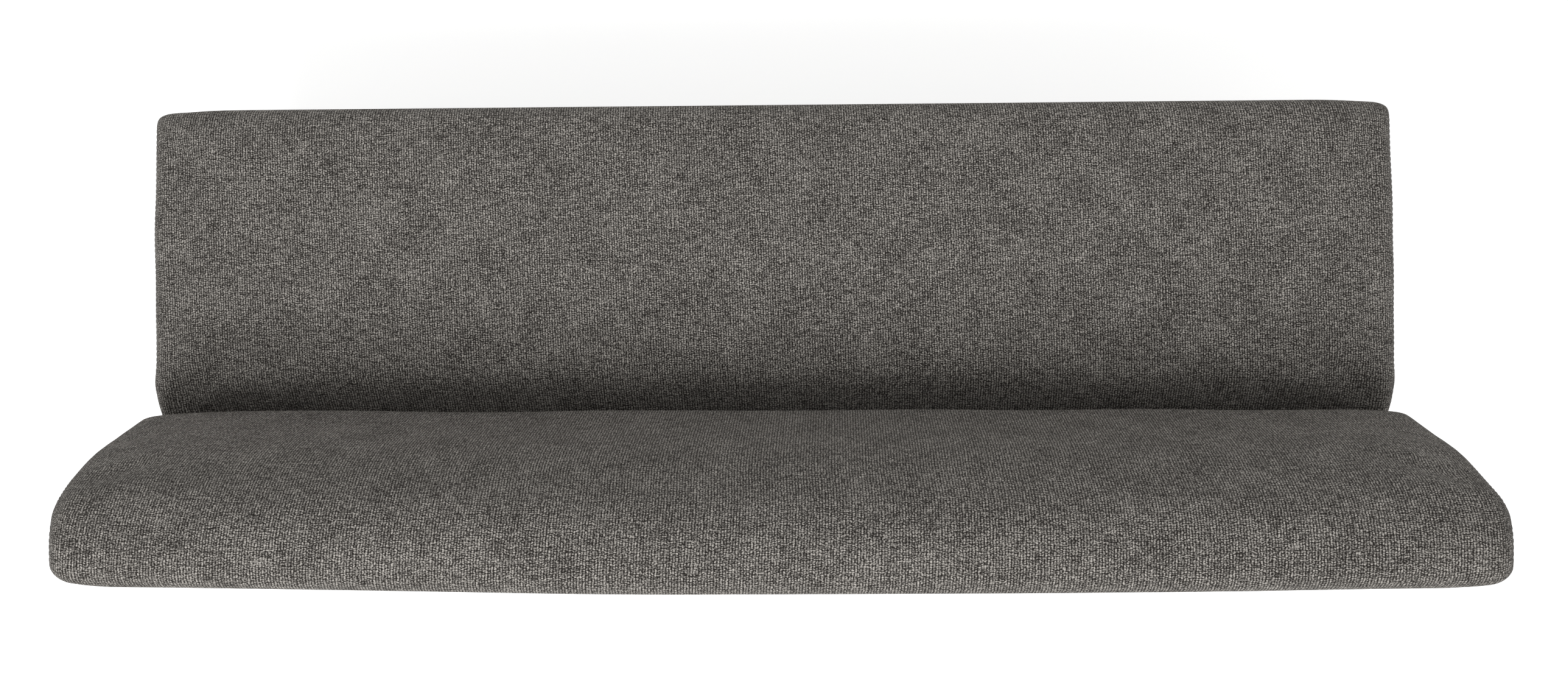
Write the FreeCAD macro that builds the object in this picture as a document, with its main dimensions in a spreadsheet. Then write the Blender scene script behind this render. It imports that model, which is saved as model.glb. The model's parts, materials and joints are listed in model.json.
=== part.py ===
import FreeCAD, Part
import math
import os
import Sketcher

# Upholstered dining bench with a leaning back, in millimetres.
# X runs along the bench, the front faces -Y, Z is up, and the floor is z = 0 under the middle of the bench.

SIZES = (
    # Timber seat frame
    ("frame_length", 1744, "seat and back frame, end to end"),
    ("seat_frame_depth", 495, "front rail's face to the foot of the posts"),
    ("rail_height", 60, "seat rails"),
    ("rail_thickness", 27, "seat rails"),
    ("cross_rail_height", 40, "cross rails, which stay below the sagging webbing"),
    ("tenon_length", 15, "stub tenons of side and cross rails"),
    ("tenon_height", 26, "stub tenons"),
    ("tenon_thickness", 10, "stub tenons"),
    ("joint_clearance", 0.2, "glue room round a tenon or in a housing"),
    ("block_size", 90, "leg block, square"),
    ("block_height", 38, "leg block"),
    ("block_setback", 16, "rear leg block to rear rail, room for the screw heads"),
    # Timber back frame
    ("back_recline", 12, "lean of the back, degrees from upright"),
    ("post_length", 440, "post, measured along its slope"),
    ("post_width", 70, "post"),
    ("post_thickness", 30, "post"),
    ("back_rail_height", 60, "top and lower back rail"),
    ("back_rail_thickness", 27, "top and lower back rail"),
    ("housing_depth", 10, "housing of a back rail in the posts"),
    ("lower_rail_rise", 112, "foot of the posts to the lower back rail, along the slope"),
    # Webbing and felt
    ("webbing_width", 60, "elastic webbing"),
    ("webbing_thickness", 2, "elastic webbing"),
    ("webbing_edge", 12, "end of a strap to the edge of the rail that it is stapled to"),
    ("strap_inset", 42, "outermost strap's middle to the side rail"),
    ("felt_thickness", 3, "felt over the webbing"),
    # Upholstery
    ("seat_foam_thickness", 59, "wrapped seat foam at its crown"),
    ("front_foam_thickness", 18, "wrapped seat foam down the front rail"),
    ("end_foam_thickness", 26, "wrapped foam over the ends of the frame"),
    ("back_foam_thickness", 77, "wrapped back foam in front of the felt"),
    ("back_rise", 380, "top of the seat to the top of the back"),
    ("cover_thickness", 2, "woven cover"),
    ("seat_crown", 9, "rise of the seat's middle over its front and rear edges"),
    ("seat_front_radius", 36, "rolled front edge of the seat"),
    ("seat_rear_radius", 34, "seat edge in the crevice"),
    ("shoulder_radius", 500, "upper front of the back, where it starts to roll"),
    ("shoulder_angle", 60, "slope at which the shoulder passes into the top roll, degrees"),
    ("top_flat", 5, "flat between the top roll and the rear edge of the back"),
    ("back_corner_radius", 30, "rear top edge of the back"),
    ("corner_swell", 22, "extra rear edge radius at the ends of the back"),
    ("end_draw", 6, "front edge of the seat drawn in at its ends"),
    ("end_drop", 6, "top drawn down at the ends of seat and back"),
    ("end_reach", 130, "length over which the ends are drawn in"),
    ("crevice_gap", 0.4, "seat to back"),
    ("board_thickness", 3, "hardboard behind the posts"),
    ("panel_margin", 8, "outside back panel's seam to the rounded edges of the back"),
    ("dust_cover_thickness", 1, "cloth under the seat"),
    ("dust_cover_inset", 12, "edge of the bench to the dust cover"),
    ("tuck_margin", 4, "turned-under cover to the inner face of the rails"),
    # Legs
    ("leg_height", 360, "floor to the underside of the seat"),
    ("plate_size", 80, "leg plate, square"),
    ("plate_thickness", 4, "leg plate"),
    ("plate_corner", 10, "leg plate's corner radius"),
    ("plate_margin", 3, "leg plate to the dust cover"),
    ("leg_diameter", 30, "leg tube"),
    ("leg_wall", 2, "leg tube"),
    ("side_splay", 6, "lean of every leg towards its end, degrees"),
    ("front_splay", 6, "forward lean of the front legs, degrees"),
    ("rear_splay", 16, "backward lean of the rear legs, degrees"),
    ("glide_height", 6, "floor glide's pad"),
    ("glide_diameter", 32, "floor glide's pad"),
    ("glide_plug_length", 14, "floor glide's plug inside the tube"),
    ("glide_clearance", 0.3, "plug to tube, all round"),
    # Coach screws that hold the posts
    ("screw_diameter", 8, "shank"),
    ("screw_hole_clearance", 1, "hole in the rear rail over the shank"),
    ("pilot_clearance", 0.2, "pilot hole in a post over the shank"),
    ("screw_reach", 26, "shank past the foot of the posts' front faces"),
    ("screw_head_width", 13, "hexagon head across flats"),
    ("screw_head_height", 5.3, "hexagon head"),
    ("screw_edge", 16, "screws to the top and bottom of the rear rail"),
    ("screw_inset", 56, "outermost screws to the end of the frame"),
)

POST_COUNT = 4
CROSS_RAIL_COUNT = 3
SEAT_STRAP_COUNT = 13
LONG_STRAP_COUNT = 3
BACK_STRAP_COUNT = 10
DRAW_STEPS = 2
ROUND_STEPS = 5
SIDES = (("left", 1), ("right", -1))
HEXAGON = 6
ZERO = 1e-9

doc = FreeCAD.newDocument("dining_bench")
sheet = doc.addObject("Spreadsheet::Sheet", "sizes")
for row, (alias, size, note) in enumerate(SIZES, start=1):
    sheet.set(f"A{row}", alias)
    sheet.set(f"B{row}", str(size))
    sheet.set(f"C{row}", note)
    sheet.setAlias(f"B{row}", alias)
doc.recompute()

# Levels, from the floor up
FRAME_BOTTOM = "(sizes.leg_height + sizes.cover_thickness)"
RAIL_TOP = f"({FRAME_BOTTOM} + sizes.rail_height)"
DECK = f"({RAIL_TOP} + 2 * sizes.webbing_thickness + sizes.felt_thickness)"
SEAT_TOP = f"({DECK} + sizes.seat_foam_thickness + sizes.cover_thickness)"
BACK_TOP = f"({SEAT_TOP} + sizes.back_rise)"
LEG_TOP = "(sizes.leg_height - sizes.plate_thickness)"

# Places from the front to the rear, set so that the whole bench is centred on y = 0
BEHIND_POSTS = "(sizes.post_thickness + sizes.board_thickness + sizes.cover_thickness)"
AHEAD_OF_RAIL = "(sizes.front_foam_thickness + sizes.cover_thickness)"
DEPTH = (
    f"({AHEAD_OF_RAIL} + sizes.seat_frame_depth + sizes.back_corner_radius"
    f" + ({BEHIND_POSTS} - sizes.back_corner_radius) / cos(sizes.back_recline)"
    f" + ({BACK_TOP} - sizes.back_corner_radius - {FRAME_BOTTOM}) * tan(sizes.back_recline))"
)
FRAME_FRONT = f"({AHEAD_OF_RAIL} - {DEPTH} / 2)"
POST_FOOT = f"({FRAME_FRONT} + sizes.seat_frame_depth)"
REAR_RAIL_FRONT = f"({POST_FOOT} - sizes.rail_thickness)"
FRONT_RAIL_REAR = f"({FRAME_FRONT} + sizes.rail_thickness)"
CLEAR_DEPTH = "(sizes.seat_frame_depth - 2 * sizes.rail_thickness)"
RAIL_RUN = "(sizes.rail_height * tan(sizes.back_recline))"

# Places along the bench
HALF_FRAME = "(sizes.frame_length / 2)"
END_PADDING = "(sizes.end_foam_thickness + sizes.cover_thickness)"
HALF_LENGTH = f"({HALF_FRAME} + {END_PADDING})"
CLEAR_HALF = f"({HALF_FRAME} - sizes.rail_thickness)"
SIDE_RAIL_X = f"({HALF_FRAME} - sizes.rail_thickness / 2)"
LEG_X = f"({CLEAR_HALF} - sizes.block_size / 2)"
FRONT_LEG_Y = f"({FRONT_RAIL_REAR} + sizes.block_size / 2)"
REAR_LEG_Y = f"({REAR_RAIL_FRONT} - sizes.block_setback - sizes.block_size / 2)"
STRAP_SPAN = f"(2 * ({CLEAR_HALF} - sizes.strap_inset))"
SCREW_SPAN = "(sizes.frame_length - 2 * sizes.screw_inset)"
SCREW_RISE = "(sizes.rail_height - 2 * sizes.screw_edge)"

# Back frame, in front of the posts
RAIL_PROUD = "(sizes.back_rail_thickness - sizes.housing_depth)"
FELT_FRONT = f"({RAIL_PROUD} + sizes.webbing_thickness + sizes.felt_thickness)"
BACK_FRONT = f"({FELT_FRONT} + sizes.back_foam_thickness + sizes.cover_thickness)"
TOP_RAIL_RISE = "(sizes.post_length - sizes.back_rail_height)"


def value(expression):
    """The number that an expression of sheet sizes has now."""
    return float(sheet.evalExpression(expression))


def negative(expression):
    return f"(0 - {expression})"


def times(factor, expression):
    return f"({factor} * {expression})"


def lean_y(along, ahead):
    """Y, from the front foot of a post, of a point along its slope and ahead of its front face."""
    return f"({along} * sin(sizes.back_recline) - {ahead} * cos(sizes.back_recline))"


def lean_z(along, ahead):
    """Z, from the front foot of a post, of a point along its slope and ahead of its front face."""
    return f"({along} * cos(sizes.back_recline) + {ahead} * sin(sizes.back_recline))"


def spread(count, span):
    """Expressions of evenly spaced places over a span about zero."""
    return [times(f"({index} / {count - 1} - 1 / 2)", span) for index in range(count)]


def origin_part(body, role):
    return next(part for part in body.Origin.OriginFeatures if part.Role == role)


def new_body(label, x="0", y="0", z="0"):
    """A body named for its piece, with its own zero at a place given by expressions."""
    body = doc.addObject("PartDesign::Body", label)
    body.Label = label
    for axis, place in zip("xyz", (x, y, z)):
        body.setExpression(f"Placement.Base.{axis}", place)
    return body


def lean(part):
    """Tip a piece back about its own X axis by the recline."""
    part.Placement.Rotation = FreeCAD.Rotation(FreeCAD.Vector(1, 0, 0), -1)
    part.setExpression("Placement.Rotation.Angle", negative("sizes.back_recline"))


def new_sketch(body, plane):
    sketch = body.newObject("Sketcher::SketchObject", f"{body.Label}_sketch")
    sketch.AttachmentSupport = [(origin_part(body, plane), "")]
    sketch.MapMode = "FlatFace"
    return sketch


def bind(sketch, kind, elements, expression):
    number = sketch.addConstraint(Sketcher.Constraint(kind, *elements, value(expression)))
    sketch.setExpression(f"Constraints[{number}]", expression)


def pin(sketch, element, vertex, across, up):
    """Hold a point of a sketch at two expressions, or on an axis where one is zero."""
    for kind, axis, place in (("DistanceX", -2, across), ("DistanceY", -1, up)):
        if abs(value(place)) < ZERO:
            sketch.addConstraint(Sketcher.Constraint("PointOnObject", element, vertex, axis))
        else:
            bind(sketch, kind, (-1, 1, element, vertex), place)


def add_polygon(sketch, corners):
    """Close a polygon through corners given as pairs of expressions."""
    first = sketch.GeometryCount
    spots = [FreeCAD.Vector(value(across), value(up), 0) for across, up in corners]
    for start, end in zip(spots, spots[1:] + spots[:1]):
        sketch.addGeometry(Part.LineSegment(start, end))
    for index, (across, up) in enumerate(corners):
        before = first + (index - 1) % len(corners)
        sketch.addConstraint(Sketcher.Constraint("Coincident", before, 2, first + index, 1))
        pin(sketch, first + index, 1, across, up)


def add_rectangle(sketch, across, up, width, height):
    """A rectangle about a middle point, with all four given as expressions."""
    left, right = f"({across} - {width} / 2)", f"({across} + {width} / 2)"
    low, high = f"({up} - {height} / 2)", f"({up} + {height} / 2)"
    add_polygon(sketch, [(left, low), (right, low), (right, high), (left, high)])


def add_circle(sketch, across, up, diameter):
    centre = FreeCAD.Vector(value(across), value(up), 0)
    circle = sketch.addGeometry(Part.Circle(centre, FreeCAD.Vector(0, 0, 1), value(diameter) / 2))
    pin(sketch, circle, 3, across, up)
    bind(sketch, "Diameter", (circle,), diameter)


def extrude(body, kind, sketch, length, symmetric, reverse):
    """A pad or pocket of a sketch, to a length given as an expression."""
    feature = body.newObject(f"PartDesign::{kind}", f"{body.Label}_{kind.lower()}")
    feature.Profile = sketch
    feature.setExpression("Length", length)
    feature.SideType = "Symmetric" if symmetric else "One side"
    feature.Reversed = reverse
    doc.recompute()
    return feature


def pad(body, sketch, length, symmetric=False, reverse=False):
    return extrude(body, "Pad", sketch, length, symmetric, reverse)


def pocket(body, sketch, length, symmetric=False, reverse=False):
    return extrude(body, "Pocket", sketch, length, symmetric, reverse)


def repeat(body, features, steps):
    """Pattern features along several directions: axis role, span and count for each."""
    rows = []
    for role, span, count in steps:
        line = doc.addObject("PartDesign::LinearPattern", f"{body.Label}_row")
        line.Direction = (origin_part(body, role), [""])
        line.setExpression("Length", span)
        line.Occurrences = count
        rows.append(line)
    pattern = body.newObject("PartDesign::MultiTransform", f"{body.Label}_pattern")
    pattern.Originals = features
    pattern.Transformations = rows
    body.Tip = pattern
    doc.recompute()


def plain_sheet(label, length, depth, height, y, z):
    """A box centred along the bench, for felt and board."""
    box = doc.addObject("Part::Box", label)
    box.Label = label
    box.setExpression("Length", length)
    box.setExpression("Width", depth)
    box.setExpression("Height", height)
    box.setExpression("Placement.Base.x", f"0 - {length} / 2")
    box.setExpression("Placement.Base.y", y)
    box.setExpression("Placement.Base.z", z)
    return box


def formed(label, shape):
    """A piece whose shape comes from lofts and cuts of the upholstery forms."""
    piece = doc.addObject("Part::Feature", label)
    piece.Label = label
    piece.Shape = shape
    piece.Placement = FreeCAD.Placement()
    return piece


# Seat frame

CROSS_RAIL_PLACES = [
    times(index - (CROSS_RAIL_COUNT - 1) / 2, f"(sizes.frame_length / {CROSS_RAIL_COUNT + 1})")
    for index in range(CROSS_RAIL_COUNT)
]
TENON_PLACES = [(place, "sizes.cross_rail_height") for place in CROSS_RAIL_PLACES]
TENON_PLACES += [(times(sign, SIDE_RAIL_X), "sizes.rail_height") for _, sign in SIDES]
MORTISE_WIDTH = "(sizes.tenon_thickness + 2 * sizes.joint_clearance)"
MORTISE_HEIGHT = "(sizes.tenon_height + 2 * sizes.joint_clearance)"
MORTISE_DEPTH = "(sizes.tenon_length + sizes.joint_clearance)"
SCREW_ROWS = ("sizes.screw_edge", f"(sizes.screw_edge + {SCREW_RISE})")


def cut_mortises(body, reverse):
    """Mortises in the inner face of the front or rear rail, one for each tenon that it takes."""
    sketch = new_sketch(body, "XZ_Plane")
    for across, rail_height in TENON_PLACES:
        add_rectangle(sketch, across, f"({rail_height} / 2)", MORTISE_WIDTH, MORTISE_HEIGHT)
    pocket(body, sketch, MORTISE_DEPTH, reverse=reverse)


def make_front_rail():
    body = new_body("front_rail", y=FRONT_RAIL_REAR, z=FRAME_BOTTOM)
    profile = new_sketch(body, "YZ_Plane")
    front, top = negative("sizes.rail_thickness"), "sizes.rail_height"
    add_polygon(profile, [(front, "0"), ("0", "0"), ("0", top), (front, top)])
    pad(body, profile, "sizes.frame_length", symmetric=True)
    cut_mortises(body, reverse=True)
    return body


def make_rear_rail():
    """The rear rail, bevelled behind to the recline so that the posts bear flat on it."""
    body = new_body("rear_rail", y=REAR_RAIL_FRONT, z=FRAME_BOTTOM)
    profile = new_sketch(body, "YZ_Plane")
    top_rear = f"(sizes.rail_thickness + {RAIL_RUN})"
    add_polygon(profile, [
        ("0", "0"),
        ("sizes.rail_thickness", "0"),
        (top_rear, "sizes.rail_height"),
        ("0", "sizes.rail_height"),
    ])
    pad(body, profile, "sizes.frame_length", symmetric=True)
    cut_mortises(body, reverse=False)
    holes = new_sketch(body, "XZ_Plane")
    for across in spread(POST_COUNT, SCREW_SPAN):
        for up in SCREW_ROWS:
            add_circle(holes, across, up, "(sizes.screw_diameter + sizes.screw_hole_clearance)")
    pocket(body, holes, f"(sizes.rail_thickness + {RAIL_RUN})")
    return body


def make_tenoned_rail(label, place, height):
    """A rail from front to rear with a stub tenon at each end."""
    body = new_body(label, x=place, y=FRONT_RAIL_REAR, z=FRAME_BOTTOM)
    middle = f"({CLEAR_DEPTH} / 2)"
    board = new_sketch(body, "YZ_Plane")
    add_rectangle(board, middle, f"({height} / 2)", CLEAR_DEPTH, height)
    pad(body, board, "sizes.rail_thickness", symmetric=True)
    tenons = new_sketch(body, "YZ_Plane")
    tenon_reach = f"({CLEAR_DEPTH} + 2 * sizes.tenon_length)"
    add_rectangle(tenons, middle, f"({height} / 2)", tenon_reach, "sizes.tenon_height")
    pad(body, tenons, "sizes.tenon_thickness", symmetric=True)
    return body


def make_leg_block(label, x, y):
    """A corner block, level with the turned-under cover, that a leg plate is screwed to."""
    body = new_body(label, x=x, y=y, z="sizes.leg_height")
    outline_sketch = new_sketch(body, "XY_Plane")
    add_rectangle(outline_sketch, "0", "0", "sizes.block_size", "sizes.block_size")
    pad(body, outline_sketch, "sizes.block_height")
    return body


# Back frame

def lean_corners(low, high, rear, front):
    """A board's section beside a post: its run along the slope and its faces ahead of the post."""
    around = ((low, rear), (low, front), (high, front), (high, rear))
    return [(lean_y(along, ahead), lean_z(along, ahead)) for along, ahead in around]


def make_post(label, place, screw_place):
    """A leaning post: foot cut level, housed for both back rails, with pilot holes for two coach screws."""
    body = new_body(label, x=place, y=POST_FOOT, z=FRAME_BOTTOM)
    rear_face = negative("sizes.post_thickness")
    profile = new_sketch(body, "YZ_Plane")
    add_polygon(profile, [
        ("0", "0"),
        ("(sizes.post_thickness / cos(sizes.back_recline))", "0"),
        (lean_y("sizes.post_length", rear_face), lean_z("sizes.post_length", rear_face)),
        (lean_y("sizes.post_length", "0"), lean_z("sizes.post_length", "0")),
    ])
    pad(body, profile, "sizes.post_width", symmetric=True)
    housings = new_sketch(body, "YZ_Plane")
    floor = negative("sizes.housing_depth")
    past = "sizes.back_rail_thickness"
    lower_start = "(sizes.lower_rail_rise - sizes.joint_clearance)"
    lower_end = "(sizes.lower_rail_rise + sizes.back_rail_height + sizes.joint_clearance)"
    top_start = f"({TOP_RAIL_RISE} - sizes.joint_clearance)"
    top_end = "(sizes.post_length + sizes.back_rail_thickness)"
    add_polygon(housings, lean_corners(lower_start, lower_end, floor, past))
    add_polygon(housings, lean_corners(top_start, top_end, floor, past))
    pocket(body, housings, "(2 * sizes.post_width)", symmetric=True)
    pilots = new_sketch(body, "XZ_Plane")
    for up in SCREW_ROWS:
        diameter = "(sizes.screw_diameter + sizes.pilot_clearance)"
        add_circle(pilots, f"({screw_place} - {place})", up, diameter)
    pocket(body, pilots, "(sizes.screw_reach + sizes.pilot_clearance)")
    return body


def make_back_rail(label, rise):
    """A rail let into the front of the posts."""
    body = new_body(
        label,
        y=f"{POST_FOOT} + {lean_y(rise, '0')}",
        z=f"{FRAME_BOTTOM} + {lean_z(rise, '0')}",
    )
    lean(body)
    section = new_sketch(body, "YZ_Plane")
    front = negative(RAIL_PROUD)
    add_polygon(section, [
        (front, "0"),
        ("sizes.housing_depth", "0"),
        ("sizes.housing_depth", "sizes.back_rail_height"),
        (front, "sizes.back_rail_height"),
    ])
    pad(body, section, "sizes.frame_length", symmetric=True)
    return body


# Webbing, felt and board

def make_seat_cross_webbing():
    """Straps from the front rail to the rear rail."""
    body = new_body("seat_cross_webbing", x=negative(f"({STRAP_SPAN} / 2)"), y=FRAME_FRONT, z=RAIL_TOP)
    strap = new_sketch(body, "XY_Plane")
    rear = f"(sizes.seat_frame_depth + {RAIL_RUN} - sizes.webbing_edge)"
    half = "(sizes.webbing_width / 2)"
    add_polygon(strap, [
        (negative(half), "sizes.webbing_edge"),
        (half, "sizes.webbing_edge"),
        (half, rear),
        (negative(half), rear),
    ])
    first = pad(body, strap, "sizes.webbing_thickness")
    repeat(body, [first], [("X_Axis", STRAP_SPAN, SEAT_STRAP_COUNT)])
    return body


def long_strap_line(starts_over):
    """Places and heights of a long strap's underside, as it passes over and under the cross straps."""
    half_frame, clear_half = value(HALF_FRAME), value(CLEAR_HALF)
    edge, thickness = sheet.webbing_edge, sheet.webbing_thickness
    span = value(STRAP_SPAN)
    half_flat = sheet.webbing_width / 2 + thickness
    line = [(-half_frame + edge, 0), (-clear_half + thickness, 0)]
    for index in range(SEAT_STRAP_COUNT):
        middle = span * (index / (SEAT_STRAP_COUNT - 1) - 0.5)
        over = (index % 2 == 0) == starts_over
        height = thickness if over else -thickness
        line += [(middle - half_flat, height), (middle + half_flat, height)]
    return line + [(clear_half - thickness, 0), (half_frame - edge, 0)]


def make_seat_long_webbing():
    """Straps along the bench, woven over and under the cross straps."""
    straps = []
    pitch = value(CLEAR_DEPTH) / (LONG_STRAP_COUNT + 1)
    for number in range(LONG_STRAP_COUNT):
        middle = value(FRONT_RAIL_REAR) + pitch * (number + 1)
        near = middle - sheet.webbing_width / 2
        line = long_strap_line(starts_over=number % 2 == 0)
        low = [FreeCAD.Vector(x, near, value(RAIL_TOP) + z) for x, z in line]
        high = [point + FreeCAD.Vector(0, 0, sheet.webbing_thickness) for point in reversed(low)]
        side = Part.Face(Part.makePolygon(low + high + low[:1]))
        straps.append(side.extrude(FreeCAD.Vector(0, sheet.webbing_width, 0)))
    return formed("seat_long_webbing", Part.makeCompound(straps))


def make_back_webbing():
    """Straps from the lower back rail up to the top back rail."""
    start = "(sizes.lower_rail_rise + sizes.webbing_edge)"
    body = new_body(
        "back_webbing",
        x=negative(f"({STRAP_SPAN} / 2)"),
        y=f"{POST_FOOT} + {lean_y(start, RAIL_PROUD)}",
        z=f"{FRAME_BOTTOM} + {lean_z(start, RAIL_PROUD)}",
    )
    lean(body)
    strap = new_sketch(body, "XZ_Plane")
    half = "(sizes.webbing_width / 2)"
    length = f"(sizes.post_length - {start} - sizes.webbing_edge)"
    add_polygon(strap, [(negative(half), "0"), (half, "0"), (half, length), (negative(half), length)])
    first = pad(body, strap, "sizes.webbing_thickness")
    repeat(body, [first], [("X_Axis", STRAP_SPAN, BACK_STRAP_COUNT)])
    return body


def make_sheets():
    """Felt over the seat and back webbing, and the hardboard behind the posts."""
    seat_depth = f"(sizes.seat_frame_depth + {RAIL_RUN})"
    deck_bottom = f"({RAIL_TOP} + 2 * sizes.webbing_thickness)"
    seat_felt = plain_sheet(
        "seat_felt", "sizes.frame_length", seat_depth, "sizes.felt_thickness", FRAME_FRONT, deck_bottom,
    )
    rise = "(sizes.post_length - sizes.lower_rail_rise)"
    back_felt = plain_sheet(
        "back_felt", "sizes.frame_length", "sizes.felt_thickness", rise,
        f"{POST_FOOT} + {lean_y('sizes.lower_rail_rise', FELT_FRONT)}",
        f"{FRAME_BOTTOM} + {lean_z('sizes.lower_rail_rise', FELT_FRONT)}",
    )
    rear = negative("sizes.post_thickness")
    foot = "((sizes.post_thickness + sizes.board_thickness) * tan(sizes.back_recline))"
    back_board = plain_sheet(
        "back_board", "sizes.frame_length", "sizes.board_thickness", f"(sizes.post_length - {foot})",
        f"{POST_FOOT} + {lean_y(foot, rear)}",
        f"{FRAME_BOTTOM} + {lean_z(foot, rear)}",
    )
    for leaning in (back_felt, back_board):
        lean(leaning)
    return [seat_felt, back_felt, back_board]


# Upholstery forms

def front_of_posts(z):
    """Y of the posts' front plane at a height."""
    return value(POST_FOOT) + (z - value(FRAME_BOTTOM)) * math.tan(math.radians(sheet.back_recline))


def ahead_of_posts(z, distance):
    """Y at a height of a plane that lies a distance ahead of the posts' front plane, square to it."""
    return front_of_posts(z) - distance / math.cos(math.radians(sheet.back_recline))


def on_circle(centre, radius, angle):
    """Point of a circle at an angle in degrees from the +Y direction."""
    turn = math.radians(angle)
    return (centre[0] + radius * math.cos(turn), centre[1] + radius * math.sin(turn))


def outline(x, corners):
    """A closed section at x, from points with a bulge point where an arc leads to the next one."""
    edges = []
    for (start, bulge), (end, _) in zip(corners, corners[1:] + corners[:1]):
        start_point, end_point = FreeCAD.Vector(x, *start), FreeCAD.Vector(x, *end)
        if bulge is None:
            edges.append(Part.LineSegment(start_point, end_point).toShape())
        else:
            edges.append(Part.Arc(start_point, FreeCAD.Vector(x, *bulge), end_point).toShape())
    return Part.Wire(edges)


def seat_section(x, drawn, inset, bottom):
    """The seat's section: upright front, rolled edge, crowned top and a rear that follows the back."""
    recline = math.radians(sheet.back_recline)
    front = value(FRAME_FRONT) - value(AHEAD_OF_RAIL) + inset
    top = value(SEAT_TOP) - drawn * sheet.end_drop
    draw = drawn * sheet.end_draw
    rear_ahead = value(BACK_FRONT) + sheet.crevice_gap + inset
    half_depth = (ahead_of_posts(top, rear_ahead - inset) - front + inset) / 2
    crown_radius = (half_depth ** 2 + sheet.seat_crown ** 2) / (2 * sheet.seat_crown)
    centre = (front - inset + half_depth, top - crown_radius)
    crown = crown_radius - inset

    front_radius = sheet.seat_front_radius - inset
    front_y = front + draw + front_radius
    front_z = centre[1] + math.sqrt((crown - front_radius) ** 2 - (front_y - centre[0]) ** 2)
    front_angle = math.degrees(math.atan2(front_z - centre[1], front_y - centre[0]))

    rear_radius = sheet.seat_rear_radius - inset
    foot_y = ahead_of_posts(centre[1], rear_ahead + rear_radius) - centre[0]
    reach = math.sqrt((crown - rear_radius) ** 2 - (foot_y * math.cos(recline)) ** 2)
    rear_z = centre[1] + (reach - foot_y * math.sin(recline)) * math.cos(recline)
    rear_y = ahead_of_posts(rear_z, rear_ahead + rear_radius)
    rear_angle = math.degrees(math.atan2(rear_z - centre[1], rear_y - centre[0]))

    front_centre, rear_centre = (front_y, front_z), (rear_y, rear_z)
    wall_angle = -sheet.back_recline
    rear_bulge = on_circle(rear_centre, rear_radius, (rear_angle + wall_angle) / 2)
    return outline(x, [
        ((front, bottom), None),
        ((front + draw, front_z), on_circle(front_centre, front_radius, (180 + front_angle) / 2)),
        (on_circle(centre, crown, front_angle), on_circle(centre, crown, (front_angle + rear_angle) / 2)),
        (on_circle(centre, crown, rear_angle), rear_bulge),
        (on_circle(rear_centre, rear_radius, wall_angle), None),
        ((ahead_of_posts(bottom, rear_ahead), bottom), None),
    ])


def roll_radius(top, corner_y):
    """Radius of the top roll that joins the shoulder to the flat in front of the rear edge."""
    slope, start = math.radians(sheet.shoulder_angle), math.radians(90 - sheet.back_recline)
    shoulder = sheet.shoulder_radius
    lean_rate = math.tan(math.radians(sheet.back_recline))
    straight_top = top - shoulder * (math.cos(slope) - math.cos(start))
    straight_end = ahead_of_posts(straight_top, value(BACK_FRONT))
    shoulder_end = straight_end + shoulder * (math.sin(start) - math.sin(slope))
    room = corner_y - sheet.top_flat - shoulder_end
    return room / (math.sin(slope) - lean_rate * (1 - math.cos(slope)))


def back_section(x, drawn, inset, bottom):
    """The back's section: leaning front, shoulder, top roll, small rear edge and flat leaning rear."""
    recline, slope = sheet.back_recline, sheet.shoulder_angle
    upright = 90 - recline
    rear_ahead = inset - value(BEHIND_POSTS)
    outer_corner = sheet.back_corner_radius + drawn * sheet.corner_swell
    outer_top = value(BACK_TOP) - drawn * sheet.end_drop
    outer_corner_y = ahead_of_posts(outer_top - outer_corner, outer_corner - value(BEHIND_POSTS))
    roll = roll_radius(outer_top, outer_corner_y) - inset

    top = outer_top - inset
    corner = outer_corner - inset
    corner_centre = (ahead_of_posts(top - corner, rear_ahead + corner), top - corner)
    shoulder = sheet.shoulder_radius - inset
    rise = shoulder * (math.cos(math.radians(slope)) - math.cos(math.radians(upright)))
    rise += roll * (1 - math.cos(math.radians(slope)))
    front_ahead = value(BACK_FRONT) - inset
    straight_end = (ahead_of_posts(top - rise, front_ahead), top - rise)
    shoulder_centre = on_circle(straight_end, shoulder, upright - 90)
    roll_start = on_circle(shoulder_centre, shoulder, slope + 90)
    roll_centre = on_circle(roll_start, roll, slope - 90)
    return outline(x, [
        ((ahead_of_posts(bottom, front_ahead), bottom), None),
        (straight_end, on_circle(shoulder_centre, shoulder, (upright + slope) / 2 + 90)),
        (roll_start, on_circle(roll_centre, roll, slope / 2 + 90)),
        (on_circle(roll_centre, roll, 90), None),
        (on_circle(corner_centre, corner, 90), on_circle(corner_centre, corner, (90 - recline) / 2)),
        (on_circle(corner_centre, corner, -recline), None),
        ((ahead_of_posts(bottom, rear_ahead), bottom), None),
    ])


def pillow(section, inset, bottom):
    """Loft a section along the bench: straight, then drawn in, then rounded over at both ends."""
    neck = value(HALF_FRAME)
    start = value(HALF_LENGTH) - sheet.end_reach
    radius = value(END_PADDING) - inset
    stations = []
    for step in range(DRAW_STEPS):
        share = step / DRAW_STEPS
        stations.append((start + (neck - start) * share, share ** 2, inset))
    for step in range(ROUND_STEPS + 1):
        turn = math.radians(90 * step / ROUND_STEPS)
        stations.append((neck + radius * math.sin(turn), 1, inset + radius * (1 - math.cos(turn))))
    mirrored = [(-x, drawn, depth) for x, drawn, depth in reversed(stations)]
    sections = [section(x, drawn, depth, bottom) for x, drawn, depth in mirrored + stations]
    return Part.makeLoft(sections, True, True)


def block_between(x_half, y_low, y_high, z_low, z_high):
    corner = FreeCAD.Vector(-x_half, y_low, z_low)
    return Part.makeBox(2 * x_half, y_high - y_low, z_high - z_low, corner)


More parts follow.
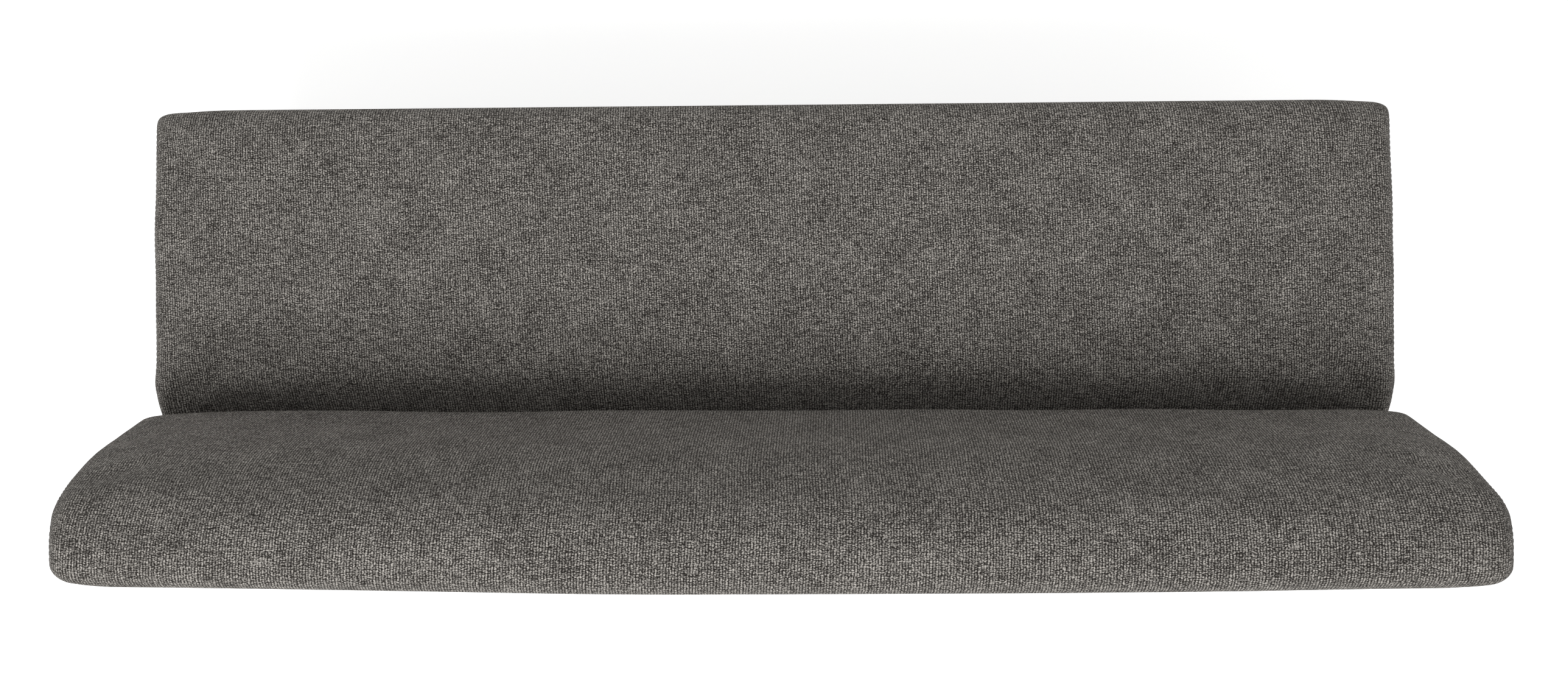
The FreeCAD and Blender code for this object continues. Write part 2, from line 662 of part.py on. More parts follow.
def leaning_block(x_half, rear, front, low, high):
    """A box along the slope of the back: its faces ahead of the posts and its run along them."""
    block = Part.makeBox(2 * x_half, front - rear, high - low, FreeCAD.Vector(-x_half, -front, low))
    block.rotate(FreeCAD.Vector(), FreeCAD.Vector(1, 0, 0), -sheet.back_recline)
    block.translate(FreeCAD.Vector(0, value(POST_FOOT), value(FRAME_BOTTOM)))
    return block


def make_upholstery():
    """Foam and covers of seat and back, each cover cut by the foam inside it and both by the frame."""
    half_frame, frame_front, past_rear = value(HALF_FRAME), value(FRAME_FRONT), value(DEPTH)
    frame_bottom, deck, underside = value(FRAME_BOTTOM), value(DECK), sheet.leg_height
    cover = sheet.cover_thickness
    tuck = sheet.rail_thickness - sheet.tuck_margin
    half_tucked, below = half_frame - tuck, underside - cover
    frame_space = block_between(half_frame, frame_front, past_rear, frame_bottom, deck)

    seat_outer = pillow(seat_section, 0, underside)
    seat_inner = pillow(seat_section, cover, frame_bottom)
    seat_opening = block_between(half_tucked, frame_front + tuck, past_rear, below, frame_bottom)
    seat_foam = seat_inner.cut(frame_space)
    seat_cover = seat_outer.cut([seat_inner, frame_space, seat_opening])

    back_outer = pillow(back_section, 0, underside)
    back_inner = pillow(back_section, cover, frame_bottom)
    post_top, behind = sheet.post_length, value(BEHIND_POSTS)
    back_space = leaning_block(half_frame, -behind, value(FELT_FRONT), -post_top, post_top)
    below_deck = block_between(half_frame, frame_front, front_of_posts(deck), frame_bottom, deck)
    rear_tuck = front_of_posts(frame_bottom) + sheet.post_thickness - tuck
    back_opening = block_between(half_tucked, frame_front, rear_tuck, below, frame_bottom)
    back_foam = back_inner.cut([back_space, below_deck])

    seam_half = half_frame - sheet.panel_margin
    seam_top = (value(BACK_TOP) - frame_bottom) / math.cos(math.radians(sheet.back_recline))
    seam_top -= sheet.end_drop + sheet.back_corner_radius + sheet.corner_swell + sheet.panel_margin
    panel_space = leaning_block(seam_half, -2 * behind, cover - behind, -post_top, seam_top)
    back_shell = back_outer.cut([back_inner, below_deck, back_opening])
    return [
        formed("seat_foam", seat_foam),
        formed("seat_cover", seat_cover),
        formed("back_foam", back_foam),
        formed("back_cover", back_shell.cut(panel_space)),
        formed("outside_back_panel", back_shell.common(panel_space)),
    ]


def make_dust_cover():
    """Thin cloth over the underside, cut out round the leg plates."""
    body = new_body("dust_cover", z="(sizes.leg_height - sizes.dust_cover_thickness)")
    outline_sketch = new_sketch(body, "XY_Plane")
    right = f"({HALF_FRAME} - sizes.dust_cover_inset)"
    left = negative(right)
    front = f"({FRAME_FRONT} + sizes.dust_cover_inset)"
    rear = f"({POST_FOOT} + sizes.post_thickness - sizes.dust_cover_inset)"
    add_polygon(outline_sketch, [(left, front), (right, front), (right, rear), (left, rear)])
    opening = "(sizes.plate_size + 2 * sizes.plate_margin)"
    for _, sign in SIDES:
        for y in (FRONT_LEG_Y, REAR_LEG_Y):
            add_rectangle(outline_sketch, times(sign, LEG_X), y, opening, opening)
    pad(body, outline_sketch, "sizes.dust_cover_thickness")
    return body


# Legs

def leg_lean(sign_x, sign_y, splay):
    """The way that a leg points from its plate to its foot, for one unit of drop."""
    run_x = sign_x * math.tan(math.radians(sheet.side_splay))
    run_y = sign_y * math.tan(math.radians(splay))
    return FreeCAD.Vector(run_x, run_y, -1)


def trimmed(solid, low, high):
    """What lies of a solid between two levels."""
    box = solid.BoundBox
    corner = FreeCAD.Vector(2 * box.XMin - box.XMax, 2 * box.YMin - box.YMax, low)
    return solid.common(Part.makeBox(3 * box.XLength, 3 * box.YLength, high - low, corner))


def leaning_rod(top, way, radius, low, high):
    """A round rod that leans from a point of its axis, cut level at both ends."""
    over = 2 * radius
    length = (top.z - low) * way.Length + 2 * over
    start = top - way * (over / way.Length)
    return trimmed(Part.makeCylinder(radius, length, start, way), low, high)


def make_leg(label, top, way):
    """A splayed tube welded under a square plate with rounded corners."""
    side, thickness, radius = sheet.plate_size, sheet.plate_thickness, sheet.leg_diameter / 2
    plate = Part.makeBox(side, side, thickness, top - FreeCAD.Vector(side / 2, side / 2, 0))
    upright = [edge for edge in plate.Edges if edge.BoundBox.ZLength > thickness / 2]
    plate = plate.makeFillet(sheet.plate_corner, upright)
    outside = leaning_rod(top, way, radius, sheet.glide_height, top.z)
    inside = leaning_rod(top, way, radius - sheet.leg_wall, sheet.glide_height, top.z)
    return formed(label, plate.fuse(outside.cut(inside)))


def floor_glide(top, way):
    """A pad under the tube's rim with a plug that follows the tube's lean."""
    foot = top + way * (top.z - sheet.glide_height)
    foot.z = 0
    disc = Part.makeCylinder(sheet.glide_diameter / 2, sheet.glide_height, foot)
    radius = sheet.leg_diameter / 2 - sheet.leg_wall - sheet.glide_clearance
    plug_end = sheet.glide_height + sheet.glide_plug_length
    return disc.fuse(leaning_rod(top, way, radius, sheet.glide_height, plug_end))


def make_legs():
    """Four legs with their blocks, splayed towards the corners, and the glides under them."""
    pieces, glides = [], []
    for side, sign in SIDES:
        x = times(sign, LEG_X)
        front = (f"{side}_front", FRONT_LEG_Y, leg_lean(sign, -1, sheet.front_splay))
        rear = (f"{side}_rear", REAR_LEG_Y, leg_lean(sign, 1, sheet.rear_splay))
        for corner, y, way in (front, rear):
            pieces.append(make_leg_block(f"{corner}_leg_block", x, y))
            top = FreeCAD.Vector(value(x), value(y), value(LEG_TOP))
            pieces.append(make_leg(f"{corner}_leg", top, way))
            glides.append(floor_glide(top, way))
    return pieces + [formed("floor_glides", Part.makeCompound(glides))]


def make_post_screws():
    """Hexagon-head coach screws from inside the rear rail into the posts."""
    body = new_body(
        "post_screws",
        x=negative(f"({SCREW_SPAN} / 2)"),
        y=REAR_RAIL_FRONT,
        z=f"({FRAME_BOTTOM} + sizes.screw_edge)",
    )
    head = new_sketch(body, "XZ_Plane")
    corner = "(sizes.screw_head_width / sqrt(3))"
    add_polygon(head, [
        (f"({corner} * cos({turn}))", f"({corner} * sin({turn}))") for turn in range(0, 360, 360 // HEXAGON)
    ])
    shank = new_sketch(body, "XZ_Plane")
    add_circle(shank, "0", "0", "sizes.screw_diameter")
    features = [
        pad(body, head, "sizes.screw_head_height"),
        pad(body, shank, "(sizes.rail_thickness + sizes.screw_reach)", reverse=True),
    ]
    repeat(body, features, [("X_Axis", SCREW_SPAN, POST_COUNT), ("Z_Axis", SCREW_RISE, 2)])
    return body


def make_pieces():
    """Every piece of the bench, from the frame outwards."""
    pieces = [make_front_rail(), make_rear_rail()]
    for side, sign in SIDES:
        pieces.append(make_tenoned_rail(f"{side}_side_rail", times(sign, SIDE_RAIL_X), "sizes.rail_height"))
    for number, place in enumerate(CROSS_RAIL_PLACES, start=1):
        pieces.append(make_tenoned_rail(f"cross_rail_{number}", place, "sizes.cross_rail_height"))
    post_places = spread(POST_COUNT, "(sizes.frame_length - sizes.post_width)")
    screw_places = spread(POST_COUNT, SCREW_SPAN)
    for number, places in enumerate(zip(post_places, screw_places), start=1):
        pieces.append(make_post(f"back_post_{number}", *places))
    pieces.append(make_back_rail("back_top_rail", TOP_RAIL_RISE))
    pieces.append(make_back_rail("back_lower_rail", "sizes.lower_rail_rise"))
    pieces += [make_seat_cross_webbing(), make_seat_long_webbing(), make_back_webbing()]
    pieces += make_sheets()
    pieces += make_upholstery()
    pieces.append(make_dust_cover())
    pieces += make_legs()
    pieces.append(make_post_screws())
    return pieces


def check(pieces):
    """Stop where an object failed, a cut removed nothing or a piece has no sound shape."""
    for item in doc.Objects:
        if {"Invalid", "Error"} & set(item.State):
            raise RuntimeError(f"{item.Label} failed")
        if item.TypeId == "PartDesign::Pocket" and item.Shape.Volume >= item.BaseFeature.Shape.Volume:
            raise RuntimeError(f"{item.Label} cuts nothing")
    for piece in pieces:
        if piece.Shape.isNull() or not piece.Shape.isValid() or not piece.Shape.Solids:
            raise RuntimeError(f"{piece.Label} has no sound shape")


pieces = make_pieces()
doc.recompute()
check(pieces)
os.makedirs("parts", exist_ok=True)
for piece in pieces:
    piece.Shape.exportStep(os.path.join("parts", f"{piece.Label}.step"))
print(f"{len(pieces)} pieces written")
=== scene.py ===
"""Looks of an upholstered dining bench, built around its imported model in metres."""

import json
import logging
import math
from dataclasses import dataclass, field
from enum import Enum
from typing import Callable, Sequence

import bmesh
import bpy
import numpy as np
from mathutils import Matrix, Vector, noise
from mathutils.bvhtree import BVHTree


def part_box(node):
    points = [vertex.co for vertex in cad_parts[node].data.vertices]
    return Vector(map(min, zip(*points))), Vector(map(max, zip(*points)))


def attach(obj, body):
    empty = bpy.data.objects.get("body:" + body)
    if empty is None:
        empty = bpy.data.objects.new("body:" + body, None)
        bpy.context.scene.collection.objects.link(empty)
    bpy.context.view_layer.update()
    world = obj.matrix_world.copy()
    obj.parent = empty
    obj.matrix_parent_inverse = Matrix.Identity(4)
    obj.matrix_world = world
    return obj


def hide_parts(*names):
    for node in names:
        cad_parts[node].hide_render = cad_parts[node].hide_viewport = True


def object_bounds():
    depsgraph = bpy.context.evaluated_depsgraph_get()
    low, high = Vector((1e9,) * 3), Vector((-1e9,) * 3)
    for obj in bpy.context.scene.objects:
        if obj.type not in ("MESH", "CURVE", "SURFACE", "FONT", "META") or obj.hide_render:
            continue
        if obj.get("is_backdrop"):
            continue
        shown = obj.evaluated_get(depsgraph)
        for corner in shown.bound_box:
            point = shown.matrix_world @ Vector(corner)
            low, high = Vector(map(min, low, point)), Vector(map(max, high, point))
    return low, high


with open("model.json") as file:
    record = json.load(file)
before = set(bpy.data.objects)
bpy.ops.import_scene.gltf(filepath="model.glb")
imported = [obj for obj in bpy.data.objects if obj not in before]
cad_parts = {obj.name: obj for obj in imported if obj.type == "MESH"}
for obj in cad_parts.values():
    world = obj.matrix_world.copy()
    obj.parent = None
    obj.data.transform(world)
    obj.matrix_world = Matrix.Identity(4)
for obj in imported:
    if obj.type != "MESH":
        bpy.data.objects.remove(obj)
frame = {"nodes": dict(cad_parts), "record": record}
CAD_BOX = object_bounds()

BODY = "root"
MM = 0.001
PHOTO_WIDTH = 2576
THREAD_RADIUS = 0.5 * MM
# Depth over which the seat's rear and the back's lower front are pressed flat where they meet.
PRESSED = 8 * MM

Point = tuple[float, float]
Triple = tuple[float, float, float]
Face = tuple[int, ...]

logging.basicConfig(level=logging.INFO, format="%(message)s")
log = logging.getLogger("bench")


def linear(hex_colour: str) -> tuple[float, float, float, float]:
    """Turn an sRGB hex colour to linear light.

    Args:
        hex_colour: colour such as "#8a8580".

    Returns:
        Linear red, green, blue and an alpha of 1.
    """
    parts = [int(hex_colour[i:i + 2], 16) / 255 for i in (1, 3, 5)]
    light = [c / 12.92 if c <= 0.04045 else ((c + 0.055) / 1.055) ** 2.4 for c in parts]
    return (*light, 1.0)


def connect(tree: bpy.types.NodeTree, socket: bpy.types.NodeSocket, source: object) -> None:
    """Link an input from another socket, or set its value.

    Args:
        tree: node tree of the input.
        socket: the input.
        source: socket to link from, or a value.
    """
    if isinstance(source, bpy.types.NodeSocket):
        tree.links.new(source, socket)
    else:
        socket.default_value = source


def add_node(
    tree: bpy.types.NodeTree, kind: str, inputs: dict | None = None, **settings: object
) -> bpy.types.Node:
    """Add a node with its settings, values and links.

    Args:
        tree: node tree to add to.
        kind: type name of the node.
        inputs: input name or number to a value, or to a socket to link from.
        settings: properties of the node.

    Returns:
        The new node.
    """
    made = tree.nodes.new(kind)
    for name, setting in settings.items():
        setattr(made, name, setting)
    for key, source in (inputs or {}).items():
        connect(tree, made.inputs[key], source)
    return made


def background_rays(tree: bpy.types.NodeTree) -> bpy.types.NodeSocket:
    """Tell the rays that show the background, straight from the camera or by way of gloss or glass.

    Args:
        tree: node tree to add to.

    Returns:
        A socket that is 1 for those rays and 0 for the rays that light the bench.
    """
    rays = add_node(tree, "ShaderNodeLightPath").outputs
    seen = rays["Is Camera Ray"]
    for kind in ("Is Glossy Ray", "Is Transmission Ray"):
        seen = add_node(tree, "ShaderNodeMath", {0: seen, 1: rays[kind]}, operation="MAXIMUM").outputs[0]
    return seen


def add_mesh(
    name: str, vertices: Sequence, faces: Sequence[Face], cloth: Sequence[Point] = ()
) -> bpy.types.Object:
    """Make a smooth mesh object.

    Args:
        name: its name.
        vertices: places in metres.
        faces: vertex numbers of each face.
        cloth: weave coordinates of each face corner in metres, if it is made of the cover.

    Returns:
        The new object, in the scene.
    """
    mesh = bpy.data.meshes.new(name)
    mesh.from_pydata(vertices, [], faces)
    mesh.shade_smooth()
    if cloth:
        layer = mesh.uv_layers.new(name="weave")
        layer.data.foreach_set("uv", np.array(cloth, np.float32).ravel())
    made = bpy.data.objects.new(name, mesh)
    bpy.context.scene.collection.objects.link(made)
    work = bmesh.new()
    work.from_mesh(mesh)
    bmesh.ops.recalc_face_normals(work, faces=work.faces)
    work.to_mesh(mesh)
    work.free()
    return made


class Slot(Enum):
    """Material slots of the record that are dressed here."""

    TIMBER = "frame_timber"
    HARDBOARD = "hardboard"
    WEBBING = "elastic_webbing"
    COVER = "woven_cover"
    DUST_CLOTH = "dust_cloth"
    LEG = "leg_steel"
    GLIDE = "glide_plastic"
    SCREW = "screw_steel"


class Finish:
    """A material made of nodes, named for what the real one is."""

    name = "finish"

    def __init__(self) -> None:
        """Start a material with a principled shader."""
        self.material = bpy.data.materials.new(self.name)
        self.material.use_nodes = True
        self.tree = self.material.node_tree
        self.tree.nodes.clear()
        self.shader = add_node(self.tree, "ShaderNodeBsdfPrincipled")
        add_node(self.tree, "ShaderNodeOutputMaterial", {"Surface": self.shader.outputs["BSDF"]})
        self.dress()

    def dress(self) -> None:
        """Add the nodes of the finish."""

    def add(self, kind: str, inputs: dict | None = None, **settings: object) -> bpy.types.Node:
        """Add a node to this material, as add_node does."""
        return add_node(self.tree, kind, inputs, **settings)

    def feed(self, **sources: object) -> None:
        """Link or set inputs of the shader, named with underscores for spaces."""
        for key, source in sources.items():
            connect(self.tree, self.shader.inputs[key.replace("_", " ")], source)


@dataclass(frozen=True)
class WeaveLook:
    """Yarn of the cover: sizes, run, colours, and the share that each kind of unevenness has in its tone.

    Pairs of sizes are across and along the ribs.
    """

    rib_mm: float = 3.63
    bead_mm: float = 3.2
    sway_mm: Point = (7.0, 7.0)
    fleck_mm: Point = (2.3, 1.5)
    streak_mm: Point = (3.0, 11.0)
    slub_mm: Point = (22.0, 3.0)
    patch_mm: Point = (60.0, 60.0)
    relief_mm: float = 1.0
    relief: float = 0.8
    lean: float = 0.033
    sway: Triple = (0.4, 1.5, 0.0)
    stagger: float = 0.45
    notch: float = 0.84
    full_bead: float = 0.66
    mean_bead: float = 0.66
    # Colour of the gaps between beads: painted shade of the weave's recesses, which the bump does not shadow.
    gap: str = "#1f1b18"
    light_yarn: str = "#c1bcb5"
    sheen: str = "#d8d3cd"
    contrast: float = 1.33
    # Power on the tone, which pulls the low yarn further into the gaps' painted shade.
    deepening: float = 2.0
    beads: float = 0.95
    picks: float = 0.35
    flecks: float = 1.9
    streaks: float = 0.5
    slubs: float = 0.5
    patches: float = 0.2


class WovenCover(Finish):
    """Ribbed weave of thick, uneven yarn.

    It gives the eye straight close ribs broken into pale beads over dark gaps, whose darkness is painted
    shade of the weave's recesses, flecked all over, with streaks along the ribs and longer slubs across them.
    """

    name = "woven_slub_yarn"
    look = WeaveLook()

    def scaled(self, cloth: bpy.types.NodeSocket, grain_mm: Point) -> bpy.types.NodeSocket:
        """Count cloth coordinates in grains of a size in millimetres."""
        grains = (1 / (grain_mm[0] * MM), 1 / (grain_mm[1] * MM), 1.0)
        return self.add("ShaderNodeVectorMath", {0: cloth, 1: grains}, operation="MULTIPLY").outputs[0]

    def waves(self, cloth: bpy.types.NodeSocket, grain_mm: Point) -> bpy.types.NodeOutputs:
        """Lay flat noise of a grain on the cloth, whose outputs are about a half."""
        inputs = {"Vector": self.scaled(cloth, grain_mm), "Scale": 1.0, "Detail": 0.0}
        return self.add("ShaderNodeTexNoise", inputs, noise_dimensions="2D").outputs

    def humps(self, run: bpy.types.NodeSocket) -> bpy.types.NodeSocket:
        """Round each unit of a run to one hump.

        Args:
            run: distance counted in humps.

        Returns:
            A socket that is 0 at the ends of each unit and 1 in its middle.
        """
        turn = self.add("ShaderNodeMath", {0: run, 1: math.pi}, operation="MULTIPLY").outputs[0]
        wave = self.add("ShaderNodeMath", {0: turn}, operation="SINE").outputs[0]
        return self.add("ShaderNodeMath", {0: wave}, operation="ABSOLUTE").outputs[0]

    def yarn(self, cloth: bpy.types.NodeSocket) -> tuple[bpy.types.NodeSocket, bpy.types.NodeSocket]:
        """Draw leaning ribs that sway a little, each broken into beads.

        Args:
            cloth: coordinates in metres across and along the ribs.

        Returns:
            Height of the beads over the gaps, and a chance value that each bead has.
        """
        look = self.look
        threads = self.add("ShaderNodeVectorMath", {
            0: self.waves(cloth, look.sway_mm)["Color"],
            1: look.sway,
            2: self.scaled(cloth, (look.rib_mm, look.bead_mm)),
        }, operation="MULTIPLY_ADD").outputs[0]
        axes = self.add("ShaderNodeSeparateXYZ", {"Vector": threads}).outputs
        leaning = {0: axes["Y"], 1: look.lean * look.bead_mm / look.rib_mm, 2: axes["X"]}
        across = self.add("ShaderNodeMath", leaning, operation="MULTIPLY_ADD").outputs[0]
        rib = self.add("ShaderNodeMath", {0: across}, operation="FLOOR").outputs[0]
        start = self.add("ShaderNodeTexWhiteNoise", {"W": rib}, noise_dimensions="1D").outputs["Value"]
        staggered = {0: start, 1: look.stagger, 2: axes["Y"]}
        along = self.add("ShaderNodeMath", staggered, operation="MULTIPLY_ADD").outputs[0]
        cell = self.add("ShaderNodeCombineXYZ", {"X": across, "Y": along}).outputs[0]
        cell = self.add("ShaderNodeVectorMath", {0: cell}, operation="FLOOR").outputs[0]
        pick = self.add("ShaderNodeTexWhiteNoise", {"Vector": cell}, noise_dimensions="2D").outputs["Value"]
        notched = {0: self.humps(along), 1: look.notch, 2: 1 - look.notch}
        waist = self.add("ShaderNodeMath", notched, operation="MULTIPLY_ADD").outputs[0]
        bead = self.add("ShaderNodeMath", {0: self.humps(across), 1: waist}, operation="MULTIPLY").outputs[0]
        filled = {"Value": bead, "From Min": 0.0, "From Max": look.full_bead}
        bead = self.add("ShaderNodeMapRange", filled, interpolation_type="SMOOTHSTEP").outputs["Result"]
        return bead, pick

    def dress(self) -> None:
        """Sum beads and unevenness to one tone, which gives the yarn its colour, with painted shade in the
        gaps between beads, and its relief.
        """
        look = self.look
        cloth = self.add("ShaderNodeUVMap", uv_map="weave").outputs["UV"]
        bead, pick = self.yarn(cloth)
        tone = self.add("ShaderNodeMath", {0: bead, 1: look.beads}, operation="MULTIPLY").outputs[0]
        uneven = [(pick, look.picks)]
        uneven += [(self.waves(cloth, grain_mm)["Fac"], share) for grain_mm, share in (
            (look.fleck_mm, look.flecks), (look.streak_mm, look.streaks),
            (look.slub_mm, look.slubs), (look.patch_mm, look.patches),
        )]
        for part, share in uneven:
            summed = {0: part, 1: share, 2: tone}
            tone = self.add("ShaderNodeMath", summed, operation="MULTIPLY_ADD").outputs[0]
        even = look.beads * look.mean_bead + sum(share for _, share in uneven) / 2
        spread = {"Value": tone, "From Min": even - 1 / look.contrast, "From Max": even + 1 / look.contrast}
        height = self.add("ShaderNodeMapRange", spread).outputs["Result"]
        # Painted shade: the colour falls to the dark gap colour where the beads sink into the weave's
        # recesses. The picks, flecks, streaks, slubs and patches are the yarn's own uneven tone.
        pale = self.add("ShaderNodeMath", {0: height, 1: look.deepening}, operation="POWER").outputs[0]
        colours = {"Factor": pale, "A": linear(look.gap), "B": linear(look.light_yarn)}
        shade = self.add("ShaderNodeMix", colours, data_type="RGBA").outputs["Result"]
        raised = {"Height": height, "Strength": look.relief, "Distance": look.relief_mm * MM}
        self.feed(
            Base_Color=shade, Normal=self.add("ShaderNodeBump", raised).outputs["Normal"],
            Roughness=0.92, IOR=1.46, Specular_IOR_Level=0.2,
            Sheen_Weight=0.08, Sheen_Roughness=0.6, Sheen_Tint=linear(look.sheen),
        )


class BoardColours(Enum):
    """Colours of the boards: pale, dark and streak."""

    BEECH = ("#d9b88c", "#c39c6d", "#a98153")
    HARDBOARD = ("#7b5a3e", "#6a4a32", "#563a26")


class Board(Finish):
    """Planed beech: straight pale grain with short darker flecks."""

    name = "planed_beech"
    colours = BoardColours.BEECH
    ring_mm = 9.0
    fleck_mm = 1.6
    stretch = 0.06
    fleck_from, fleck_to = 0.6, 0.7
    relief_mm = 0.2

    def dress(self) -> None:
        """Stretch noise along the bench for grain, and add fine flecks."""
        pale, dark, streak = (linear(shade) for shade in self.colours.value)
        place = self.add("ShaderNodeTexCoord").outputs["Object"]
        drawn = {0: place, 1: (self.stretch, 1, 1)}
        along = self.add("ShaderNodeVectorMath", drawn, operation="MULTIPLY").outputs[0]
        ringed = {"Vector": along, "Scale": 1 / (self.ring_mm * MM), "Detail": 3.0}
        rings = self.add("ShaderNodeTexNoise", ringed).outputs["Fac"]
        flecked = {"Vector": along, "Scale": 1 / (self.fleck_mm * MM), "Detail": 2.0}
        flecks = self.add("ShaderNodeTexNoise", flecked).outputs["Fac"]
        few = {"Value": flecks, "From Min": self.fleck_from, "From Max": self.fleck_to}
        spots = self.add("ShaderNodeMapRange", few).outputs["Result"]
        base = {"Factor": rings, "A": pale, "B": dark}
        colour = self.add("ShaderNodeMix", base, data_type="RGBA").outputs["Result"]
        marked = {"Factor": spots, "A": colour, "B": streak}
        colour = self.add("ShaderNodeMix", marked, data_type="RGBA").outputs["Result"]
        raised = {"Height": rings, "Strength": 0.2, "Distance": self.relief_mm * MM}
        bump = self.add("ShaderNodeBump", raised).outputs["Normal"]
        self.feed(Base_Color=colour, Normal=bump, Roughness=0.6, IOR=1.5)


class PressedBoard(Board):
    """Hardboard: pressed brown fibre, smooth and without grain."""

    name = "pressed_hardboard"
    colours = BoardColours.HARDBOARD
    ring_mm = 22.0
    fleck_mm = 2.4
    stretch = 1.0


@dataclass(frozen=True)
class GrainLook:
    """Colours, grain, gloss and relief of a surface that one fine grain mottles.

    The spread is the part of the grain's range that goes from dark to light. The roughness is one value, or a
    pair that the grain moves between.
    """

    dark: str
    light: str
    grain_mm: float
    detail: float = 4.0
    stretch: Triple = (1.0, 1.0, 1.0)
    spread: Point = (0.3, 0.7)
    roughness: float | Point = 0.95
    ior: float = 1.46
    relief: float = 0.5
    relief_mm: float = 0.4
    sheen: float = 0.0


class Mottled(Finish):
    """Surface with one fine grain, which keeps colour and highlights from lying flat."""

    look: GrainLook

    def dress(self) -> None:
        """Mottle two colours, and where they vary the gloss and the surface, by noise of the grain's size."""
        look = self.look
        place = self.add("ShaderNodeTexCoord").outputs["Object"]
        drawn = self.add("ShaderNodeVectorMath", {0: place, 1: look.stretch}, operation="MULTIPLY").outputs[0]
        grained = {"Vector": drawn, "Scale": 1 / (look.grain_mm * MM), "Detail": look.detail}
        grain = self.add("ShaderNodeTexNoise", grained).outputs["Fac"]
        spread = {"Value": grain, "From Min": look.spread[0], "From Max": look.spread[1]}
        mottle = self.add("ShaderNodeMapRange", spread).outputs["Result"]
        colours = {"Factor": mottle, "A": linear(look.dark), "B": linear(look.light)}
        colour = self.add("ShaderNodeMix", colours, data_type="RGBA").outputs["Result"]
        rough = look.roughness
        if isinstance(rough, tuple):
            uneven = {"Value": grain, "To Min": rough[0], "To Max": rough[1]}
            rough = self.add("ShaderNodeMapRange", uneven).outputs["Result"]
        self.feed(Base_Color=colour, Roughness=rough, IOR=look.ior, Sheen_Weight=look.sheen)
        if look.relief:
            raised = {"Height": grain, "Strength": look.relief, "Distance": look.relief_mm * MM}
            self.feed(Normal=self.add("ShaderNodeBump", raised).outputs["Normal"])


class Thread(Mottled):
    """Spun polyester sewing thread, a shade darker than the cover, with a dry twist."""

    name = "spun_polyester_thread"
    look = GrainLook("#4a4643", "#6d6864", 0.7, relief_mm=0.1, sheen=0.1)


class Webbing(Mottled):
    """Elastic webbing, woven tight with ribs along each strap and no gloss."""

    name = "elastic_webbing"
    look = GrainLook("#1c1c1e", "#3b3a3c", 2.2, stretch=(1.0, 0.12, 0.12), sheen=0.1)


class DustCloth(Mottled):
    """Thin non-woven black cloth, soft and mottled by its pressed fibres."""

    name = "non_woven_dust_cloth"
    look = GrainLook("#121212", "#232323", 1.8, relief_mm=0.2, sheen=0.1)


class PowderCoat(Mottled):
    """Black powder coat on steel: satin, with a fine orange peel that breaks up its highlights."""

    name = "black_powder_coat"
    look = GrainLook(
        "#151515", "#1e1e1f", 1.4, detail=2.0, spread=(0.0, 1.0), roughness=(0.38, 0.52), ior=1.5,
        relief=0.25, relief_mm=0.15,
    )


class GlidePlastic(Mottled):
    """Moulded polyethylene: dark, matte and a little waxy, scuffed in fine specks."""

    name = "moulded_polyethylene"
    look = GrainLook(
        "#161616", "#2a2a2b", 0.9, detail=3.0, spread=(0.0, 1.0), roughness=(0.55, 0.75), ior=1.51, relief=0.0
    )


class ZincSteel(Finish):
    """Zinc-plated steel: bright grey with a soft spangle."""

    name = "zinc_plated_steel"
    dark, light = "#b4b6b8", "#cfd1d2"
    smoothest, roughest = 0.28, 0.42
    spangle_mm = 2.0

    def dress(self) -> None:
        """Vary colour and roughness over the plating."""
        place = self.add("ShaderNodeTexCoord").outputs["Object"]
        cells = {"Vector": place, "Scale": 1 / (self.spangle_mm * MM)}
        spangle = self.add("ShaderNodeTexVoronoi", cells).outputs["Color"]
        grey = self.add("ShaderNodeRGBToBW", {"Color": spangle}).outputs["Val"]
        colours = {"Factor": grey, "A": linear(self.dark), "B": linear(self.light)}
        colour = self.add("ShaderNodeMix", colours, data_type="RGBA").outputs["Result"]
        uneven = {"Value": grey, "To Min": self.smoothest, "To Max": self.roughest}
        rough = self.add("ShaderNodeMapRange", uneven).outputs["Result"]
        self.feed(Base_Color=colour, Roughness=rough, Metallic=1.0)


class StudioFloor(Finish):
    """Pale studio paper: white where light reaches it, with the bench's own shadow."""

    name = "studio_paper"
    paper, glow = "#f4f4f3", "#ffffff"
    lift = 0.58

    def dress(self) -> None:
        """Add a little light of its own towards camera, gloss and glass, so that lit paper is white."""
        lifted = {0: background_rays(self.tree), 1: self.lift}
        strength = self.add("ShaderNodeMath", lifted, operation="MULTIPLY").outputs[0]
        self.feed(
            Base_Color=linear(self.paper), Roughness=0.9,
            Emission_Color=linear(self.glow), Emission_Strength=strength,
        )


@dataclass(frozen=True)
class Corner:
    """A corner of a section: its place, its radius, and how far the side after it draws in."""

    y: float
    z: float
    radius: float
    draw: float = 1.0


def meeting(start: Point, along: Point, other: Point, other_along: Point) -> Point:
    """Find where two lines meet.

    Args:
        start: point of the first line.
        along: its direction.
        other: point of the second line.
        other_along: its direction.

    Returns:
        The common point.
    """
    cross = along[0] * other_along[1] - along[1] * other_along[0]
    gap = (other[0] - start[0], other[1] - start[1])
    run = (gap[0] * other_along[1] - gap[1] * other_along[0]) / cross
    return (start[0] + run * along[0], start[1] + run * along[1])


